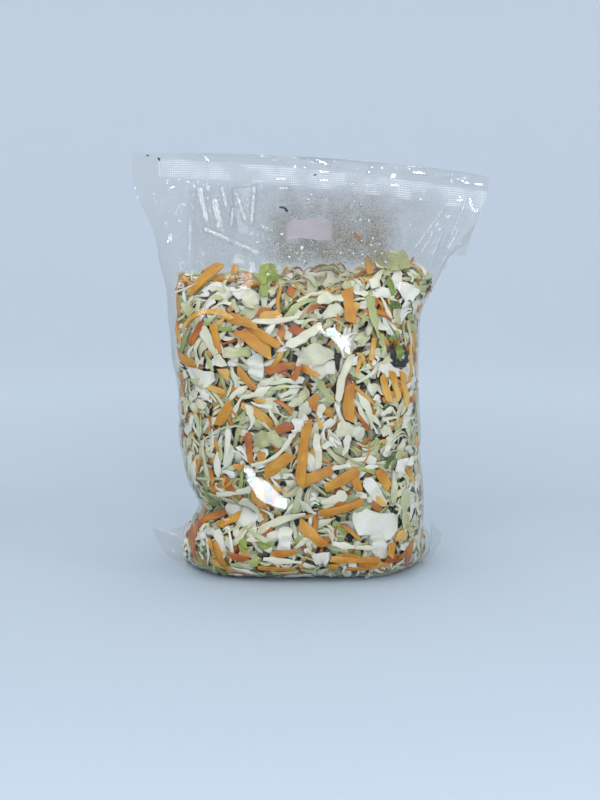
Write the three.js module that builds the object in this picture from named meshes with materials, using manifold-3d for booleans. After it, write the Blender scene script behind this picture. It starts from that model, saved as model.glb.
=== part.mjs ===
// A clear, heat-sealed bag of coleslaw mix that stands on its settled base.
// Millimetres, +Z up, the front faces -Y. The origin is on the base, under the middle of the box.
import * as THREE from "three";
import Module from "manifold-3d";

// ---- driving dimensions -------------------------------------------------------------------
// The film is a flat tube 176 mm wide, so 352 mm round. Filled with slaw it stands about
// 121 mm wide and 84 mm deep, and above the slaw it draws together to the flat seal.
const SEGMENTS_ROUND = 80; // points round the bag at each level
const LEVEL_STEP = 6.5; // largest height between two rings
const SAMPLES_PER_HALF = 240; // fine points on half a level, from which the even ones are taken
const FILLED_HALF_DEPTH = 42;
const SEAL_HALF_THICKNESS = 0.6; // the two plies of film, drawn thick enough to be solid

// The seal and the film just below it ripple to and fro.
const RIPPLE = { reach: 1.6, length: 62, from: 158, full: 190 };

// The soft fold that the slaw's weight presses into the lower left of the film. It rises
// towards the front, and it fades out past the middle of the bag and towards the flat base.
const FOLD = { height: 28.5, reach: 5, depth: 0.13, rise: 7, spread: 20, full: -40, end: 25 };
const FLAT_BELOW = 4;

// The seal isn't straight: its middle stands higher than the line between its ends.
const BOW = { rise: 3.2, from: 150, full: 195 };

// Handfuls of slaw push the film out a little. The lumps are the sum of slanting waves, each
// with its count round the bag, its height and its push.
const LUMPS = [
  { round: 4, height: 61, push: 0.34, start: 0.4 },
  { round: -7, height: 43, push: 0.3, start: 2.1 },
  { round: 11, height: -31, push: 0.24, start: 4.6 },
  { round: -3, height: 23, push: 0.2, start: 1.3 },
];
const FILLED = { from: 0, full: 8, fade: 128, to: 150 };

// The bag's levels from the base up: the x and z of its left and right edge, its half depth,
// and two roundness powers. 2 and 2 make an ellipse and 3 a rounded box. A depth power
// near 1 makes the pointed edges of a flattened tube.
const D = FILLED_HALF_DEPTH;
const LEVELS = [
  { name: "base", left: [-57, 0], right: [60, 0], depth: D - 12, across: 4.4, through: 1.15 },
  { name: "base edge", left: [-61.2, 3], right: [64.4, 3], depth: D - 4.5, across: 4, through: 1.5 },
  { name: "low bulge", left: [-60.8, 9], right: [64.2, 9], depth: D, across: 3.6, through: 2.1 },
  { name: "bulge", left: [-59.3, 17], right: [62.4, 17], depth: D + 1, across: 3.3, through: 2.7 },
  { name: "under the fold", left: [-57, 24], right: [62.4, 24], depth: D + 0.8, across: 3.2, through: 3 },
  { name: "fold", left: [-50.7, 28.5], right: [62.9, 29], depth: D + 0.4, across: 3.2, through: 3 },
  { name: "over the fold", left: [-53, 35.5], right: [63.2, 36], depth: D + 0.5, across: 3.2, through: 3 },
  { name: "low body", left: [-58.6, 49], right: [62.6, 50], depth: D + 0.8, across: 3.2, through: 3.1 },
  { name: "waist", left: [-60.8, 69], right: [60.6, 69], depth: D + 0.6, across: 3.2, through: 3.1 },
  { name: "body", left: [-62.2, 91], right: [60.1, 91], depth: D, across: 3.2, through: 3 },
  { name: "shoulder", left: [-64.6, 112], right: [60, 112], depth: D - 1, across: 3.1, through: 2.8 },
  { name: "fill line", left: [-66.1, 130], right: [60.4, 130], depth: D - 3.5, across: 2.9, through: 2.5 },
  { name: "heap top", left: [-67.4, 143], right: [67, 142], depth: D - 8.5, across: 2.6, through: 2.1 },
  { name: "head", left: [-70.6, 155], right: [73.4, 155], depth: D - 15, across: 2.4, through: 1.75 },
  { name: "upper head", left: [-72.6, 167], right: [78.4, 166], depth: D - 22.5, across: 2.2, through: 1.45 },
  { name: "neck", left: [-76.6, 178], right: [85.6, 176], depth: D - 31, across: 2.1, through: 1.2 },
  { name: "under the seal", left: [-81, 188.5], right: [91.6, 184], depth: D - 39.6, across: 2, through: 1.05 },
  { name: "seal", left: [-82.3, 194], right: [93, 188.5], depth: SEAL_HALF_THICKNESS, across: 2, through: 1 },
  { name: "seal top", left: [-82.8, 203], right: [93.5, 195], depth: SEAL_HALF_THICKNESS, across: 2, through: 1 },
  { name: "top edge", left: [-82.1, 209], right: [93.6, 199.3], depth: SEAL_HALF_THICKNESS, across: 2, through: 1 },
];

// Flat corners of film that stick out beside the bag: the two ends of the bottom seal, and the
// flap at the right shoulder. Each section has its x, its lowest and highest z, and its
// thickness, and they run from inside the bag out to the tip.
const LEFT_EAR = [
  { x: -46, low: 0.8, high: 18, thick: 20 },
  { x: -59, low: 0.8, high: 17.2, thick: 10 },
  { x: -63.5, low: 1, high: 15.2, thick: 6 },
  { x: -67.5, low: 4.4, high: 14.8, thick: 3.4 },
  { x: -71.5, low: 9, high: 15.4, thick: 2 },
  { x: -77.3, low: 16.4, high: 17.8, thick: 0.8 },
];
const RIGHT_EAR = [
  { x: 48, low: 0.8, high: 19, thick: 20 },
  { x: 61.5, low: 0.8, high: 18.8, thick: 10 },
  { x: 65.5, low: 1.6, high: 18.4, thick: 6 },
  { x: 69, low: 4.6, high: 16.4, thick: 3.2 },
  { x: 72.4, low: 11.4, high: 13.6, thick: 1 },
];
const SHOULDER_FLAP = [
  { x: 64, low: 150, high: 172, thick: 14 },
  { x: 74, low: 157.4, high: 178, thick: 5 },
  { x: 79, low: 158, high: 182, thick: 2.8 },
  { x: 83.4, low: 158.4, high: 186, thick: 1.8 },
  { x: 85.4, low: 167.5, high: 188, thick: 1.4 },
  { x: 89, low: 177.7, high: 190, thick: 1.2 },
  { x: 91.6, low: 185.4, high: 190.6, thick: 1 },
];

// ---- curves through the levels ------------------------------------------------------------
// Slopes at each level that keep the curve between two levels from overshooting either.
function monotoneSlopes(at, values) {
  const steps = values.slice(1).map((v, i) => (v - values[i]) / (at[i + 1] - at[i]));
  return values.map((_, i) => {
    if (i === 0) return steps[0];
    if (i === values.length - 1) return steps[i - 1];
    const product = steps[i - 1] * steps[i];
    return product <= 0 ? 0 : (2 * product) / (steps[i - 1] + steps[i]);
  });
}

function curveThrough(at, values) {
  const slopes = monotoneSlopes(at, values);
  return (height) => {
    const above = at.findIndex((a) => a > height);
    const i = above < 0 ? at.length - 2 : above - 1;
    const span = at[i + 1] - at[i];
    const t = (height - at[i]) / span;
    const start = values[i] * (1 + 2 * t) * (1 - t) ** 2 + slopes[i] * span * t * (1 - t) ** 2;
    const end = values[i + 1] * t * t * (3 - 2 * t) + slopes[i + 1] * span * t * t * (t - 1);
    return start + end;
  };
}

const levelHeights = LEVELS.map((level) => (level.left[1] + level.right[1]) / 2);
const curveOf = (read) => curveThrough(levelHeights, LEVELS.map(read));
const outline = {
  leftX: curveOf((level) => level.left[0]),
  leftZ: curveOf((level) => level.left[1]),
  rightX: curveOf((level) => level.right[0]),
  rightZ: curveOf((level) => level.right[1]),
  depth: curveOf((level) => level.depth),
  across: curveOf((level) => level.across),
  through: curveOf((level) => level.through),
};

const rampUp = (from, to, value) => THREE.MathUtils.smoothstep(value, from, to);

// ---- one level of the bag -----------------------------------------------------------------
// A point of the level at this turn, from the left edge at 0 to the right edge at half a turn.
// The side is -1 over the front and 1 over the back.
function pointOn(height, turn, side) {
  const cosine = -Math.cos(turn);
  const reach = Math.sign(cosine) * Math.abs(cosine) ** (2 / outline.across(height));
  const share = (reach + 1) / 2;
  const x = THREE.MathUtils.lerp(outline.leftX(height), outline.rightX(height), share);
  const line = THREE.MathUtils.lerp(outline.leftZ(height), outline.rightZ(height), share);
  const z = line + BOW.rise * rampUp(BOW.from, BOW.full, height) * 4 * share * (1 - share);
  const bulge = Math.sin(turn) ** (2 / outline.through(height));
  return new THREE.Vector3(x, side * outline.depth(height) * bulge, z);
}

// The fold draws the film in towards the middle, most at the left, and tilts with the film.
function pressFold(point) {
  const left = 1 - rampUp(FOLD.full, FOLD.end, point.x);
  const near = Math.exp(-(((point.z - FOLD.height) / FOLD.reach) ** 2));
  const clear = rampUp(FLAT_BELOW, FOLD.height, point.z);
  const about = clear * Math.exp(-(((point.z - FOLD.height) / FOLD.spread) ** 2));
  point.z -= (FOLD.rise * about * left * point.y) / FILLED_HALF_DEPTH;
  point.y *= 1 - FOLD.depth * near * left;
}

function pushLumps(point) {
  const turn = Math.atan2(point.y, point.x);
  const up = rampUp(FILLED.from, FILLED.full, point.z);
  const filled = up * (1 - rampUp(FILLED.fade, FILLED.to, point.z));
  let out = 0;
  for (const { round, height, push, start } of LUMPS) {
    out += push * Math.sin(round * turn + (2 * Math.PI * point.z) / height + start);
  }
  point.x += out * filled * Math.cos(turn);
  point.y += out * filled * Math.sin(turn);
}

function ripple(point) {
  const amount = RIPPLE.reach * rampUp(RIPPLE.from, RIPPLE.full, point.z);
  point.y += amount * Math.sin((2 * Math.PI * point.x) / RIPPLE.length);
}

// One half of a level, front or back, with its points evenly spaced from left to right.
function halfLevel(height, side, count) {
  const fine = [];
  for (let i = 0; i <= SAMPLES_PER_HALF; i++) {
    fine.push(pointOn(height, (Math.PI * i) / SAMPLES_PER_HALF, side));
  }
  const lengths = [0];
  for (let i = 1; i < fine.length; i++) {
    lengths.push(lengths[i - 1] + fine[i].distanceTo(fine[i - 1]));
  }
  const points = [];
  for (let k = 0, i = 1; k <= count; k++) {
    const target = (lengths.at(-1) * k) / count;
    while (i < SAMPLES_PER_HALF && lengths[i] < target) i++;
    const share = (target - lengths[i - 1]) / (lengths[i] - lengths[i - 1]);
    points.push(fine[i - 1].clone().lerp(fine[i], share));
  }
  for (const point of points) {
    pressFold(point);
    pushLumps(point);
    ripple(point);
  }
  return points;
}

// ---- closed skins -------------------------------------------------------------------------
// Heights of the rings: every level, and as many between two levels as the step asks for.
function ringHeights() {
  const heights = [levelHeights[0]];
  for (let i = 1; i < levelHeights.length; i++) {
    const gap = levelHeights[i] - levelHeights[i - 1];
    const parts = Math.ceil(gap / LEVEL_STEP);
    for (let k = 1; k <= parts; k++) heights.push(levelHeights[i - 1] + (gap * k) / parts);
  }
  return heights;
}

// Bands of triangles between rings of the same number of points.
function bandsBetween(ringCount, around) {
  const index = [];
  for (let r = 0; r + 1 < ringCount; r++) {
    for (let k = 0; k < around; k++) {
      const next = (k + 1) % around;
      const [a, b] = [r * around + k, r * around + next];
      index.push(a, b, b + around, a, b + around, a + around);
    }
  }
  return index;
}

// A flat end that joins the front half of a ring to its back half with strips.
function stripsAcross(first, around, up) {
  const index = [];
  for (let k = 0; k < around / 2; k++) {
    const corners = [k, k + 1, around - k - 1, (around - k) % around].map((step) => first + step);
    const outward = up ? corners : corners.reverse();
    const face = outward.filter((corner, i) => corner !== outward[(i + 1) % outward.length]);
    for (let i = 2; i < face.length; i++) index.push(face[0], face[i - 1], face[i]);
  }
  return index;
}

const flatten = (rings) => rings.flat().flatMap((point) => point.toArray());

function bagSkin() {
  const half = SEGMENTS_ROUND / 2;
  const rings = ringHeights().map((height) => {
    const front = halfLevel(height, -1, half).slice(0, half);
    const back = halfLevel(height, 1, half).reverse().slice(0, half);
    return [...front, ...back];
  });
  const lastRing = (rings.length - 1) * SEGMENTS_ROUND;
  const index = [
    ...bandsBetween(rings.length, SEGMENTS_ROUND),
    ...stripsAcross(0, SEGMENTS_ROUND, false),
    ...stripsAcross(lastRing, SEGMENTS_ROUND, true),
  ];
  return { positions: flatten(rings), index };
}

// A flat corner of film: six-sided sections, pointed above and below.
function cornerSkin(sections) {
  const outward = Math.sign(sections[0].x);
  const rings = sections.map(({ x, low, high, thick }) => {
    const quarter = (high - low) / 4;
    const side = (thick / 2) * outward;
    const corners = [
      [0, low],
      [side, low + quarter],
      [side, high - quarter],
      [0, high],
      [-side, high - quarter],
      [-side, low + quarter],
    ];
    return corners.map(([y, z]) => new THREE.Vector3(x, y, z));
  });
  for (const point of rings.flat()) ripple(point);
  const around = rings[0].length;
  const lastRing = (rings.length - 1) * around;
  const index = bandsBetween(rings.length, around);
  for (let k = 1; k + 1 < around; k++) {
    index.push(0, k + 1, k);
    index.push(lastRing, lastRing + k, lastRing + k + 1);
  }
  return { positions: flatten(rings), index };
}

// ---- joining with manifold-3d -------------------------------------------------------------
const wasm = await Module();
wasm.setup();

function solidOf({ positions, index }) {
  const mesh = new wasm.Mesh({
    numProp: 3,
    vertProperties: new Float32Array(positions),
    triVerts: new Uint32Array(index),
  });
  return new wasm.Manifold(mesh);
}

function geometryOf(solid) {
  const { vertProperties, triVerts } = solid.getMesh();
  const geometry = new THREE.BufferGeometry();
  geometry.setAttribute("position", new THREE.BufferAttribute(vertProperties, 3));
  geometry.setIndex(new THREE.BufferAttribute(triVerts, 1));
  geometry.computeVertexNormals();
  return geometry;
}

// Moves the bag so that the origin is on its base, under the middle of its box.
function standOnOrigin(geometry) {
  geometry.computeBoundingBox();
  const { min, max } = geometry.boundingBox;
  return geometry.translate(-(min.x + max.x) / 2, -(min.y + max.y) / 2, -min.z);
}

const bagSolid = [LEFT_EAR, RIGHT_EAR, SHOULDER_FLAP].reduce(
  (joined, corner) => joined.add(solidOf(cornerSkin(corner))),
  solidOf(bagSkin()),
);

const bag = new THREE.Mesh(
  standOnOrigin(geometryOf(bagSolid)),
  new THREE.MeshStandardMaterial({ color: 0xdde4d2, roughness: 0.25, metalness: 0 }),
);
bag.name = "coleslaw_bag";

const group = new THREE.Group();
group.add(bag);

export default group;
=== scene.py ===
import math
import random

import bpy
import numpy as np
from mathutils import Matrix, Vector
from mathutils.bvhtree import BVHTree
from mathutils.kdtree import KDTree


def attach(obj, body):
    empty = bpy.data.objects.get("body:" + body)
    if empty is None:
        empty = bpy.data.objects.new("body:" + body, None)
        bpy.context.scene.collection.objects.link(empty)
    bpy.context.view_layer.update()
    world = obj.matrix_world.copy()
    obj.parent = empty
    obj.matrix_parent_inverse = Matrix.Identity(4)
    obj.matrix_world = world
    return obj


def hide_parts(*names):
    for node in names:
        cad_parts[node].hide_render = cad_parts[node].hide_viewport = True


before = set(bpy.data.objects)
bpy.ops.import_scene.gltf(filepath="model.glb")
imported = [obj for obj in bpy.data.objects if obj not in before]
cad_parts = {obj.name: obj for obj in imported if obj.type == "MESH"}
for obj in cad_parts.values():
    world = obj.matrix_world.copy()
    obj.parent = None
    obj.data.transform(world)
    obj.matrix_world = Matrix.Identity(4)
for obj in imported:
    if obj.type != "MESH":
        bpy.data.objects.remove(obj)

MM = 0.001
FULL_TURN = 2.0 * math.pi
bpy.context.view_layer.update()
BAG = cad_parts["coleslaw_bag"]

# ---- the camera ---------------------------------------------------------------------------
CAMERA_DISTANCE = 620.0
CAMERA_RISE = 9.0  # degrees above the level
LOOK_AT = (-5.4, 0.0, 84.9)
PIXELS_WIDE, PIXEL_SIZE = 600, 0.51  # the picture's width, and what one pixel spans at that point
SENSOR_WIDTH = 36.0
SEEN_FROM, SEEN_TO = 0.01, 20.0  # the camera sees from here to here, in metres

# ---- sizes of the film --------------------------------------------------------------------
BAG_HEIGHT = 209.0
# The ends (x, z) of the top edge's line, and how far the edge bows up between them.
TOP_EDGE = {"left": (-82.1, 209.0), "right": (93.6, 199.3), "bow": 3.2}
# The film's rows are level up to the first height and run parallel to the top edge from the second.
TILT_FROM, TILT_FULL = 150.0, 186.0
COLUMNS = 230  # cells across the front, and as many across the back
FIRST_ROW, LAST_GAP = 0.6, 0.2  # the lowest row's height, and how far the last is from the top
LOW_STEP, HIGH_STEP, FINE_FROM = 1.4, 0.8, 150.0  # rows are closer together from FINE_FROM up
BASE_CELLS = 20  # cells across the base from front to back
BASE_SEAL_HALF_WIDTH, BASE_SEAL_FLANK, BASE_SEAL_DROP = 5.0, 2.5, 0.45
EASED_UP, EASED_ROUND = 5, 8  # how often each point is averaged with its neighbours
EASED_BODY = (160.0, 186.0)  # the body is eased round the bag too, with less and less of it here
FILM_CRISP = 17  # the film keeps a hard edge where it is creased more sharply than this angle
PLY_HALF_GAP = 0.15
PLY_PRESS_FROM, PLY_PRESS = (184.0, 189.0), 0.45  # from here up each ply is pressed in this far
# Rays find the bag's outside from this far in front or behind, at this many places across a row.
RAY_START = 120.0
ROW_REACH, ROW_CASTS, END_HALVINGS = 96.0, 380, 12
# The sheet's own left and right ends where its corners and the shoulder flap stick out further.
FOOT_HEIGHT, FOOT_LEFT, FOOT_RIGHT = 24.0, -61.4, 62.6
SHOULDER = {"z": (136, 144, 152, 157, 162, 168, 173, 180),
            "x": (57.5, 62.3, 66.4, 68.6, 72.5, 77.5, 81.6, 92)}
# The heat seal: how far its upper and lower lines lie below the top edge, at x of -60 and 60.
SEAL_ENDS = (-60.0, 60.0)
SEAL_UPPER, SEAL_LOWER = (4.4, 9.6), (13.0, 19.0)
SEAL_FLANK = 2.5  # the plies part over this much below the seal
SEAL_SOFT, SEAL_END_SOFT = 0.4, 0.6  # half the widths over which its dots fade at edges and ends
SEAL_DOTS_FROM = -75.5  # none of its dots show to the left of this
LIP_CALM = (-88.0, -62.0)  # the lip above the seal lies flat at its left end
# Where the film is misted, with soft ends: thinly all over the open part, thickly in its middle.
THIN_MIST = {"x": (-61.6, -60.4, 52, 70), "z": (148, 152, 188, 194)}
THICK_MIST = {"x": (-31, -11, 34, 48), "z": (151, 157, 170, 196)}
# Pieces that cling to the film wipe the mist off here.
WIPED = [{"x": (-12.8, -11.2, 9.4, 11.0), "z": (164.4, 166.4, 177.6, 179.4)},
         {"x": (-17.8, -16.6, -10.4, -9.2), "z": (178.6, 179.8, 183.8, 185.0)}]
THIN_MIST_SHARE, WIPED_SHARE = 0.18, 0.9
SHEET_SHIFT = 0.2  # patterns on the sheet shift by this share of its depth, so front and back differ

# Creases of the front sheet above the slaw: the points (x, z) that each runs through, half its
# width and its height.
FRONT_CREASES = [
    ([(-55.6, 192.4), (-54.0, 186.0), (-51.5, 173.9)], 1.7, 0.9),
    ([(-52.1, 195.4), (-51.1, 189.0)], 1.4, 0.7),
    ([(-48.5, 186.5), (-45.0, 171.0)], 1.9, 0.8),
    ([(-44.6, 192.4), (-41.3, 180.7)], 1.5, 0.8),
    ([(-37.9, 181.6), (-38.6, 172.9)], 1.5, 0.7),
    ([(-28.1, 192.4), (-29.3, 183.0), (-29.7, 172.0)], 2.0, 1.1),
    ([(-38.1, 190.4), (-32.3, 176.8)], 1.3, 0.6),
    ([(-34.8, 171.5), (-29.5, 170.6)], 1.8, 0.9),
    ([(-53.0, 171.9), (-49.0, 170.8), (-38.0, 165.8), (-24.2, 159.8)], 1.3, 0.8),
    ([(20.4, 190.4), (17.8, 185.5), (17.6, 177.8)], 1.1, 0.5),
    ([(-61.9, 185.5), (-60.9, 165.0), (-60.2, 142.4)], 2.0, 1.1),
    ([(-68.0, 188.0), (-70.5, 180.0)], 1.5, 0.5),
    ([(-74.0, 162.5), (-61.0, 163.0)], 1.6, 0.7),
    ([(-70.3, 169.5), (-70.0, 163.0)], 1.8, 0.8),
    ([(55.5, 137.9), (64.0, 156.0), (79.1, 189.0)], 1.9, 0.9),
    ([(52.0, 142.2), (60.0, 160.0), (66.4, 173.3)], 1.6, 0.8),
    ([(55.5, 137.9), (67.0, 160.0), (75.2, 174.7)], 1.5, 0.8),
    ([(45.5, 155.8), (57.0, 171.0), (69.2, 185.6)], 2.2, 0.9),
    ([(53.0, 150.0), (61.0, 166.0), (77.0, 176.0)], 1.7, 0.8),
]
# Creases scattered by a seeded draw. Each lot has how many, where they begin (x and z), the
# angles that they run at, their length, half width and height.
LOOSE_CREASES = [
    dict(count=58, x=(-76, 72), z=(153, 190), angle=(0, 360), length=(8, 34), wide=(1.2, 2.6),
         tall=(0.12, 0.38)),
    dict(count=12, x=(48, 58), z=(140, 152), angle=(48, 78), length=(14, 42), wide=(1.2, 2.0),
         tall=(0.3, 0.7)),
    dict(count=9, x=(-62, -56), z=(140, 152), angle=(94, 122), length=(14, 36), wide=(1.2, 2.0),
         tall=(0.3, 0.6)),
    dict(count=40, x=(-56, 50), z=(22, 146), angle=(0, 360), length=(14, 46), wide=(1.6, 3.2),
         tall=(0.08, 0.2)),
]
# Those that hang from the heat seal and those that crinkle the lip begin this far below the seal's
# lower line and the top edge.
GATHERS = dict(count=40, x=(-80, 84), below=(0, 3), angle=(252, 288), length=(5, 20), wide=(1.1, 1.9),
               tall=(0.3, 0.75))
EDGE_CRINKLES = dict(count=46, x=(-80, 88), below=(0.5, 8), angle=(20, 160), length=(3, 10),
                     wide=(0.9, 1.8), tall=(0.2, 0.6))
CREASE_BOW = 0.05  # how far a crease bows, as a share of its length
CREASE_ENDS, CREASE_CREST = 0.6, 1.5  # lower is blunter at a crease's ends, higher is sharper on top

# Slack waves of the two plies, which grow with the room between them: each wave's length along x and
# z for one radian, where it starts, and its share of the height.
WAVES = [(9.3, 21.0, 1.1, 1.0), (5.1, -13.0, 2.2, 0.7), (17.0, 6.8, 0.0, 0.6)]
WAVE_HEIGHT, FULL_ROOM, WAVES_FROM = 0.45, 8.0, (143.0, 156.0)
LIP_WAVES = [(15.5, 0.8, 1.3), (6.3, 2.0, 0.7), (2.9, 0.0, 0.35)]  # length, start and height

# Flat facets pressed into the film, each turned so that it mirrors one of the room's lights to a
# person in front of the bag: x, z, half length, half width and angle.
FACETS = {
    "window": [
        (5.6, 204.0, 4.6, 1.2, -22), (10.2, 203.6, 2.4, 0.8, 44), (13.8, 202.0, 3.2, 0.8, 58),
        (29.8, 201.0, 3.2, 0.9, 56), (50.5, 199.2, 7.4, 0.8, -9), (65.5, 197.2, 4.6, 0.9, -4),
        (71.0, 195.0, 3.2, 0.8, 48), (75.4, 194.7, 4.2, 1.0, -24), (83.0, 193.2, 3.4, 0.8, -2),
        (75.4, 185.1, 3.8, 0.8, -8), (55.6, 185.6, 2.6, 0.7, -12), (-51.8, 206.0, 2.6, 0.9, -48),
        (-22.5, 206.4, 4.2, 0.8, -8), (-16.6, 205.0, 3.2, 0.9, 24), (-12.6, 203.8, 2.2, 0.9, -50),
        (-63.3, 193.3, 1.2, 0.9, 0), (-69.6, 166.8, 2.9, 1.4, 76),
    ],
    "high_window": [
        (-55.0, 192.0, 4.6, 2.2, 2), (-53.2, 183.4, 10.4, 1.9, -78), (-51.2, 192.4, 3.6, 1.3, -76),
        (-47.0, 186.0, 3.6, 2.4, -14), (-46.0, 179.0, 9.0, 2.2, -76), (-42.8, 187.0, 6.8, 1.3, -74),
        (-38.4, 177.4, 5.6, 1.4, -96), (-28.4, 183.0, 11.0, 1.4, -94), (-34.4, 182.8, 9.6, 1.3, -70),
        (19.8, 182.0, 5.0, 1.0, -112),
        (-14.5, 191.4, 6.2, 0.8, -7), (0.5, 188.2, 5.4, 0.8, -10), (24.0, 187.0, 3.8, 1.0, -6),
        (-66.0, 181.4, 4.6, 1.2, 74), (-45.8, 169.0, 8.6, 1.6, -23.4), (-31.4, 162.8, 8.4, 1.5, -23.4),
    ],
    "right_lamp": [
        (71.0, 172.0, 16.0, 0.9, 65), (62.0, 164.5, 9.0, 0.8, 64), (68.4, 162.6, 11.0, 0.8, 61),
        (57.4, 171.0, 15.0, 1.0, 51),
    ],
}
# Larger facets by their corners (x, z): the two glares low and high on the front and a dim pane.
PANES = {
    "window": [
        [(-33.4, 59.6), (-29.6, 58.6), (-22.0, 53.0), (-11.8, 43.4), (-11.6, 39.2), (-18.0, 40.6),
         (-25.6, 44.6), (-31.0, 53.0)],
        [(6.6, 126.1), (11.0, 125.4), (15.4, 122.0), (18.3, 118.4), (18.4, 114.0), (17.2, 113.1),
         (10.3, 119.8), (7.4, 123.2)],
    ],
    "dim_window": [[(-38.5, 190.8), (-28.1, 191.4), (-29.6, 171.0), (-31.3, 169.3), (-35.2, 169.4)]],
}
# Long pleats whose flanks are turned aside: x, z, half length, half width, angle and slope.
PLEATS = [
    (-60.7, 166.0, 20.0, 0.9, -90, 0.3), (58.5, 168.0, 20.0, 1.3, 56, -0.5),
    (63.0, 160.0, 14.0, 1.2, 60, -0.5), (60.0, 150.0, 9.0, 1.1, 66, -0.55),
    (54.0, 158.0, 12.0, 1.1, 52, 0.4), (66.0, 172.0, 14.0, 1.1, 48, 0.4),
    (-24.4, 176.0, 9.0, 0.9, -92, 0.3),
]
FACET_ORDER = ("dim_window", "window", "high_window", "right_lamp")  # later facets cut earlier ones
FACET_LIFT = 0.4  # a facet stands at least this far out, so that the slaw stays behind it
PANE_RIM = 0.9  # a pane's flat sinks back into the film over this much

# The sealing jaws' dots and the mist's droplets are finer than this, too fine to show, so both are
# drawn coarser. The droplets are on the film's inside.
SEAL_DOT_PITCH = 1.07
MIST_INSET, MIST_RADII, MIST_DENSITY = 0.35, (0.1, 0.95), 2.6e5
LEAST_MIST = 0.02  # cells with less mist than this hold no droplets
BEAD_POWER = 4.0  # the higher this is, the rarer large beads are
BEAD_CELLS = (7, 4)  # a bead's cells around and from pole to pole: few, as there are hundreds
# The share of the droplets at three heights: they thin out upwards.
DROPLET_SHARE = (162.0, 170.0, 178.0), (1.0, 0.75, 0.2)

# ---- the room's light -----------------------------------------------------------------------
# Each light's name, the angles round and above the bag, its distance, size and power.
LIGHTS = {
    "window": (9, 17, 760, (84, 84), 0.95),
    "high_window": (-28, 55, 800, (100, 110), 0.48),
    "dim_window": (-20, 44, 800, (80, 100), 0.1),
    "left_lamp": (-60, 30, 800, (120, 120), 0.35),
    "right_lamp": (62, 32, 800, (160, 160), 0.7),
    "middle_lamp": (-8, 28, 800, (60, 60), 0.15),
    "front_panel": (0, 28, 1300, (1300, 1300), 4.0),
    "ceiling_panel": (180, 76, 1300, (900, 900), 3.1),
}
LAMP_COLOUR, WINDOW_COLOUR = "FFFDF8", "DAEDFF"
LIT_PLACE = (0.0, 0.0, 100.0)
ROOM_COLOUR, ROOM_STRENGTH = "F2F3F4", 0.875
# The sweep's tones, from the bag out to SWEEP_FAR metres.
SWEEP_TONES = [(0.1, "B8C5D2"), (0.3, "CFDCE8"), (0.6, "D6E2ED"), (1.0, "E5EEF8")]
SWEEP_FAR = 2.1
# Its floor is level out to SWEEP_FLAT, and curves up at this radius to a wall this high.
SWEEP_FLAT, SWEEP_BEND, SWEEP_WALL = 900.0, 1500.0, 2500.0
SWEEP_AROUND, SWEEP_STEPS = 96, 16

# The bag's lower corners and the shoulder flap: where each leaves the sheet, its free edge, and
# how far its two plies stand apart at the root.
CORNERS = [
    dict(root=[(-60.6, -4, 22.5), (-61.0, -4, 16), (-61.0, -5, 9), (-61.0, -6, 1.4)],
         edge=[(-62, -3, 23), (-66.5, -1.5, 18.4), (-71.8, -0.8, 17.4), (-82.2, -0.6, 17.6),
               (-78.5, -1.5, 10.2), (-74.5, -3, 4.4), (-70, -4, 1.7), (-64, -6, 0.9)], spread=2.4),
    dict(root=[(62.0, -4, 20.5), (62.0, -5, 12), (60.0, -7, 6), (56, -9, 1.4)],
         edge=[(63, -3, 21), (65.5, -2, 17.6), (67.8, -1.4, 15.8), (67.4, -1.6, 11),
               (64.6, -3.4, 6.2), (62, -6, 2.2), (57, -9, 1.0)], spread=2.2),
    dict(root=[(66.4, -3, 151), (68.0, -2.2, 157), (71.6, -1.5, 162.5), (76.6, -0.8, 168),
               (81, -0.3, 173.6)],
         edge=[(67.0, -3, 151.4), (69.0, -2, 158.9), (73.2, -0.6, 158.3), (77.4, 0.2, 157.9),
               (79.6, 0.1, 165.5), (81.8, 0, 173)], spread=0.5),
]
CORNER_CELLS = (40, 16)  # along a corner's root, and out to its edge

# Mist droplets that stand out by their size: x, z and radius.
BIG_DROPS = [
    (-17.8, 165.4, 0.6), (-17.8, 161.2, 0.5), (-6.8, 160.0, 0.6), (-9.4, 163.3, 0.4), (22.3, 178.0, 0.6),
    (22.0, 175.4, 0.5), (41.5, 177.0, 0.6), (31.3, 172.8, 0.4), (19.4, 169.5, 0.5), (12.4, 164.8, 0.5),
    (20.3, 160.0, 0.6), (30.6, 161.8, 0.4), (7.6, 185.4, 0.5), (48.5, 173.2, 0.5),
]

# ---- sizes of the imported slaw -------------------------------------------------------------
FILM_GAP = 0.85  # from the bag's outside to the slaw that presses on it
CLINGING_GAP = 1.7  # and to the pieces that cling to it above the heap, where it is creased
CLINGING_FROM = 158.0
STUCK_ON = 29.0  # flecks nearer than this to the film's upper edge are stuck on it
SKIN_CELL = 1.1  # spacing of the points on which the packing keeps count
FULL_DEPTH = 6.0  # no more is laid where the slaw already lies this deep below the skin
PAINTED_SHADE_DEPTH = 5.6  # shreds reach their full painted shade at this depth
CORE_DEPTH, CORE_CELL = 6.0, 2.3  # the core begins here, and its cells are this coarse
# The heap's mean height and how high its lumps are, and the shoulder at its right: how far that
# rises and drops again, and between which x.
HEAP_HEIGHT, HEAP_LUMPS = 146.0, 3.2
HEAP_RISE, HEAP_DROP = (7.0, 22.0, 42.0), (4.0, 46.0, 58.0)
SLAW_MIDDLE = -3.0
SLAW_LEFT, SLAW_RIGHT = -66.2, 60.4  # the slaw ends here where the film runs on
SLAW_BASE, LOWEST_RAY = 0.8, 1.2
FLOOR_GAP = 0.35  # nothing of the slaw lies lower than this
# The block's points around, its rings up the sides and over the top, and the squarish oval that they
# point out from: its half sizes and the power that squares it.
BLOCK_AROUND, BLOCK_RINGS, BLOCK_CAP = 300, 120, 12
OVAL_WIDE, OVAL_DEEP, OVAL_POWER = 60.0, 40.0, 2.0 / 3.2

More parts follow.
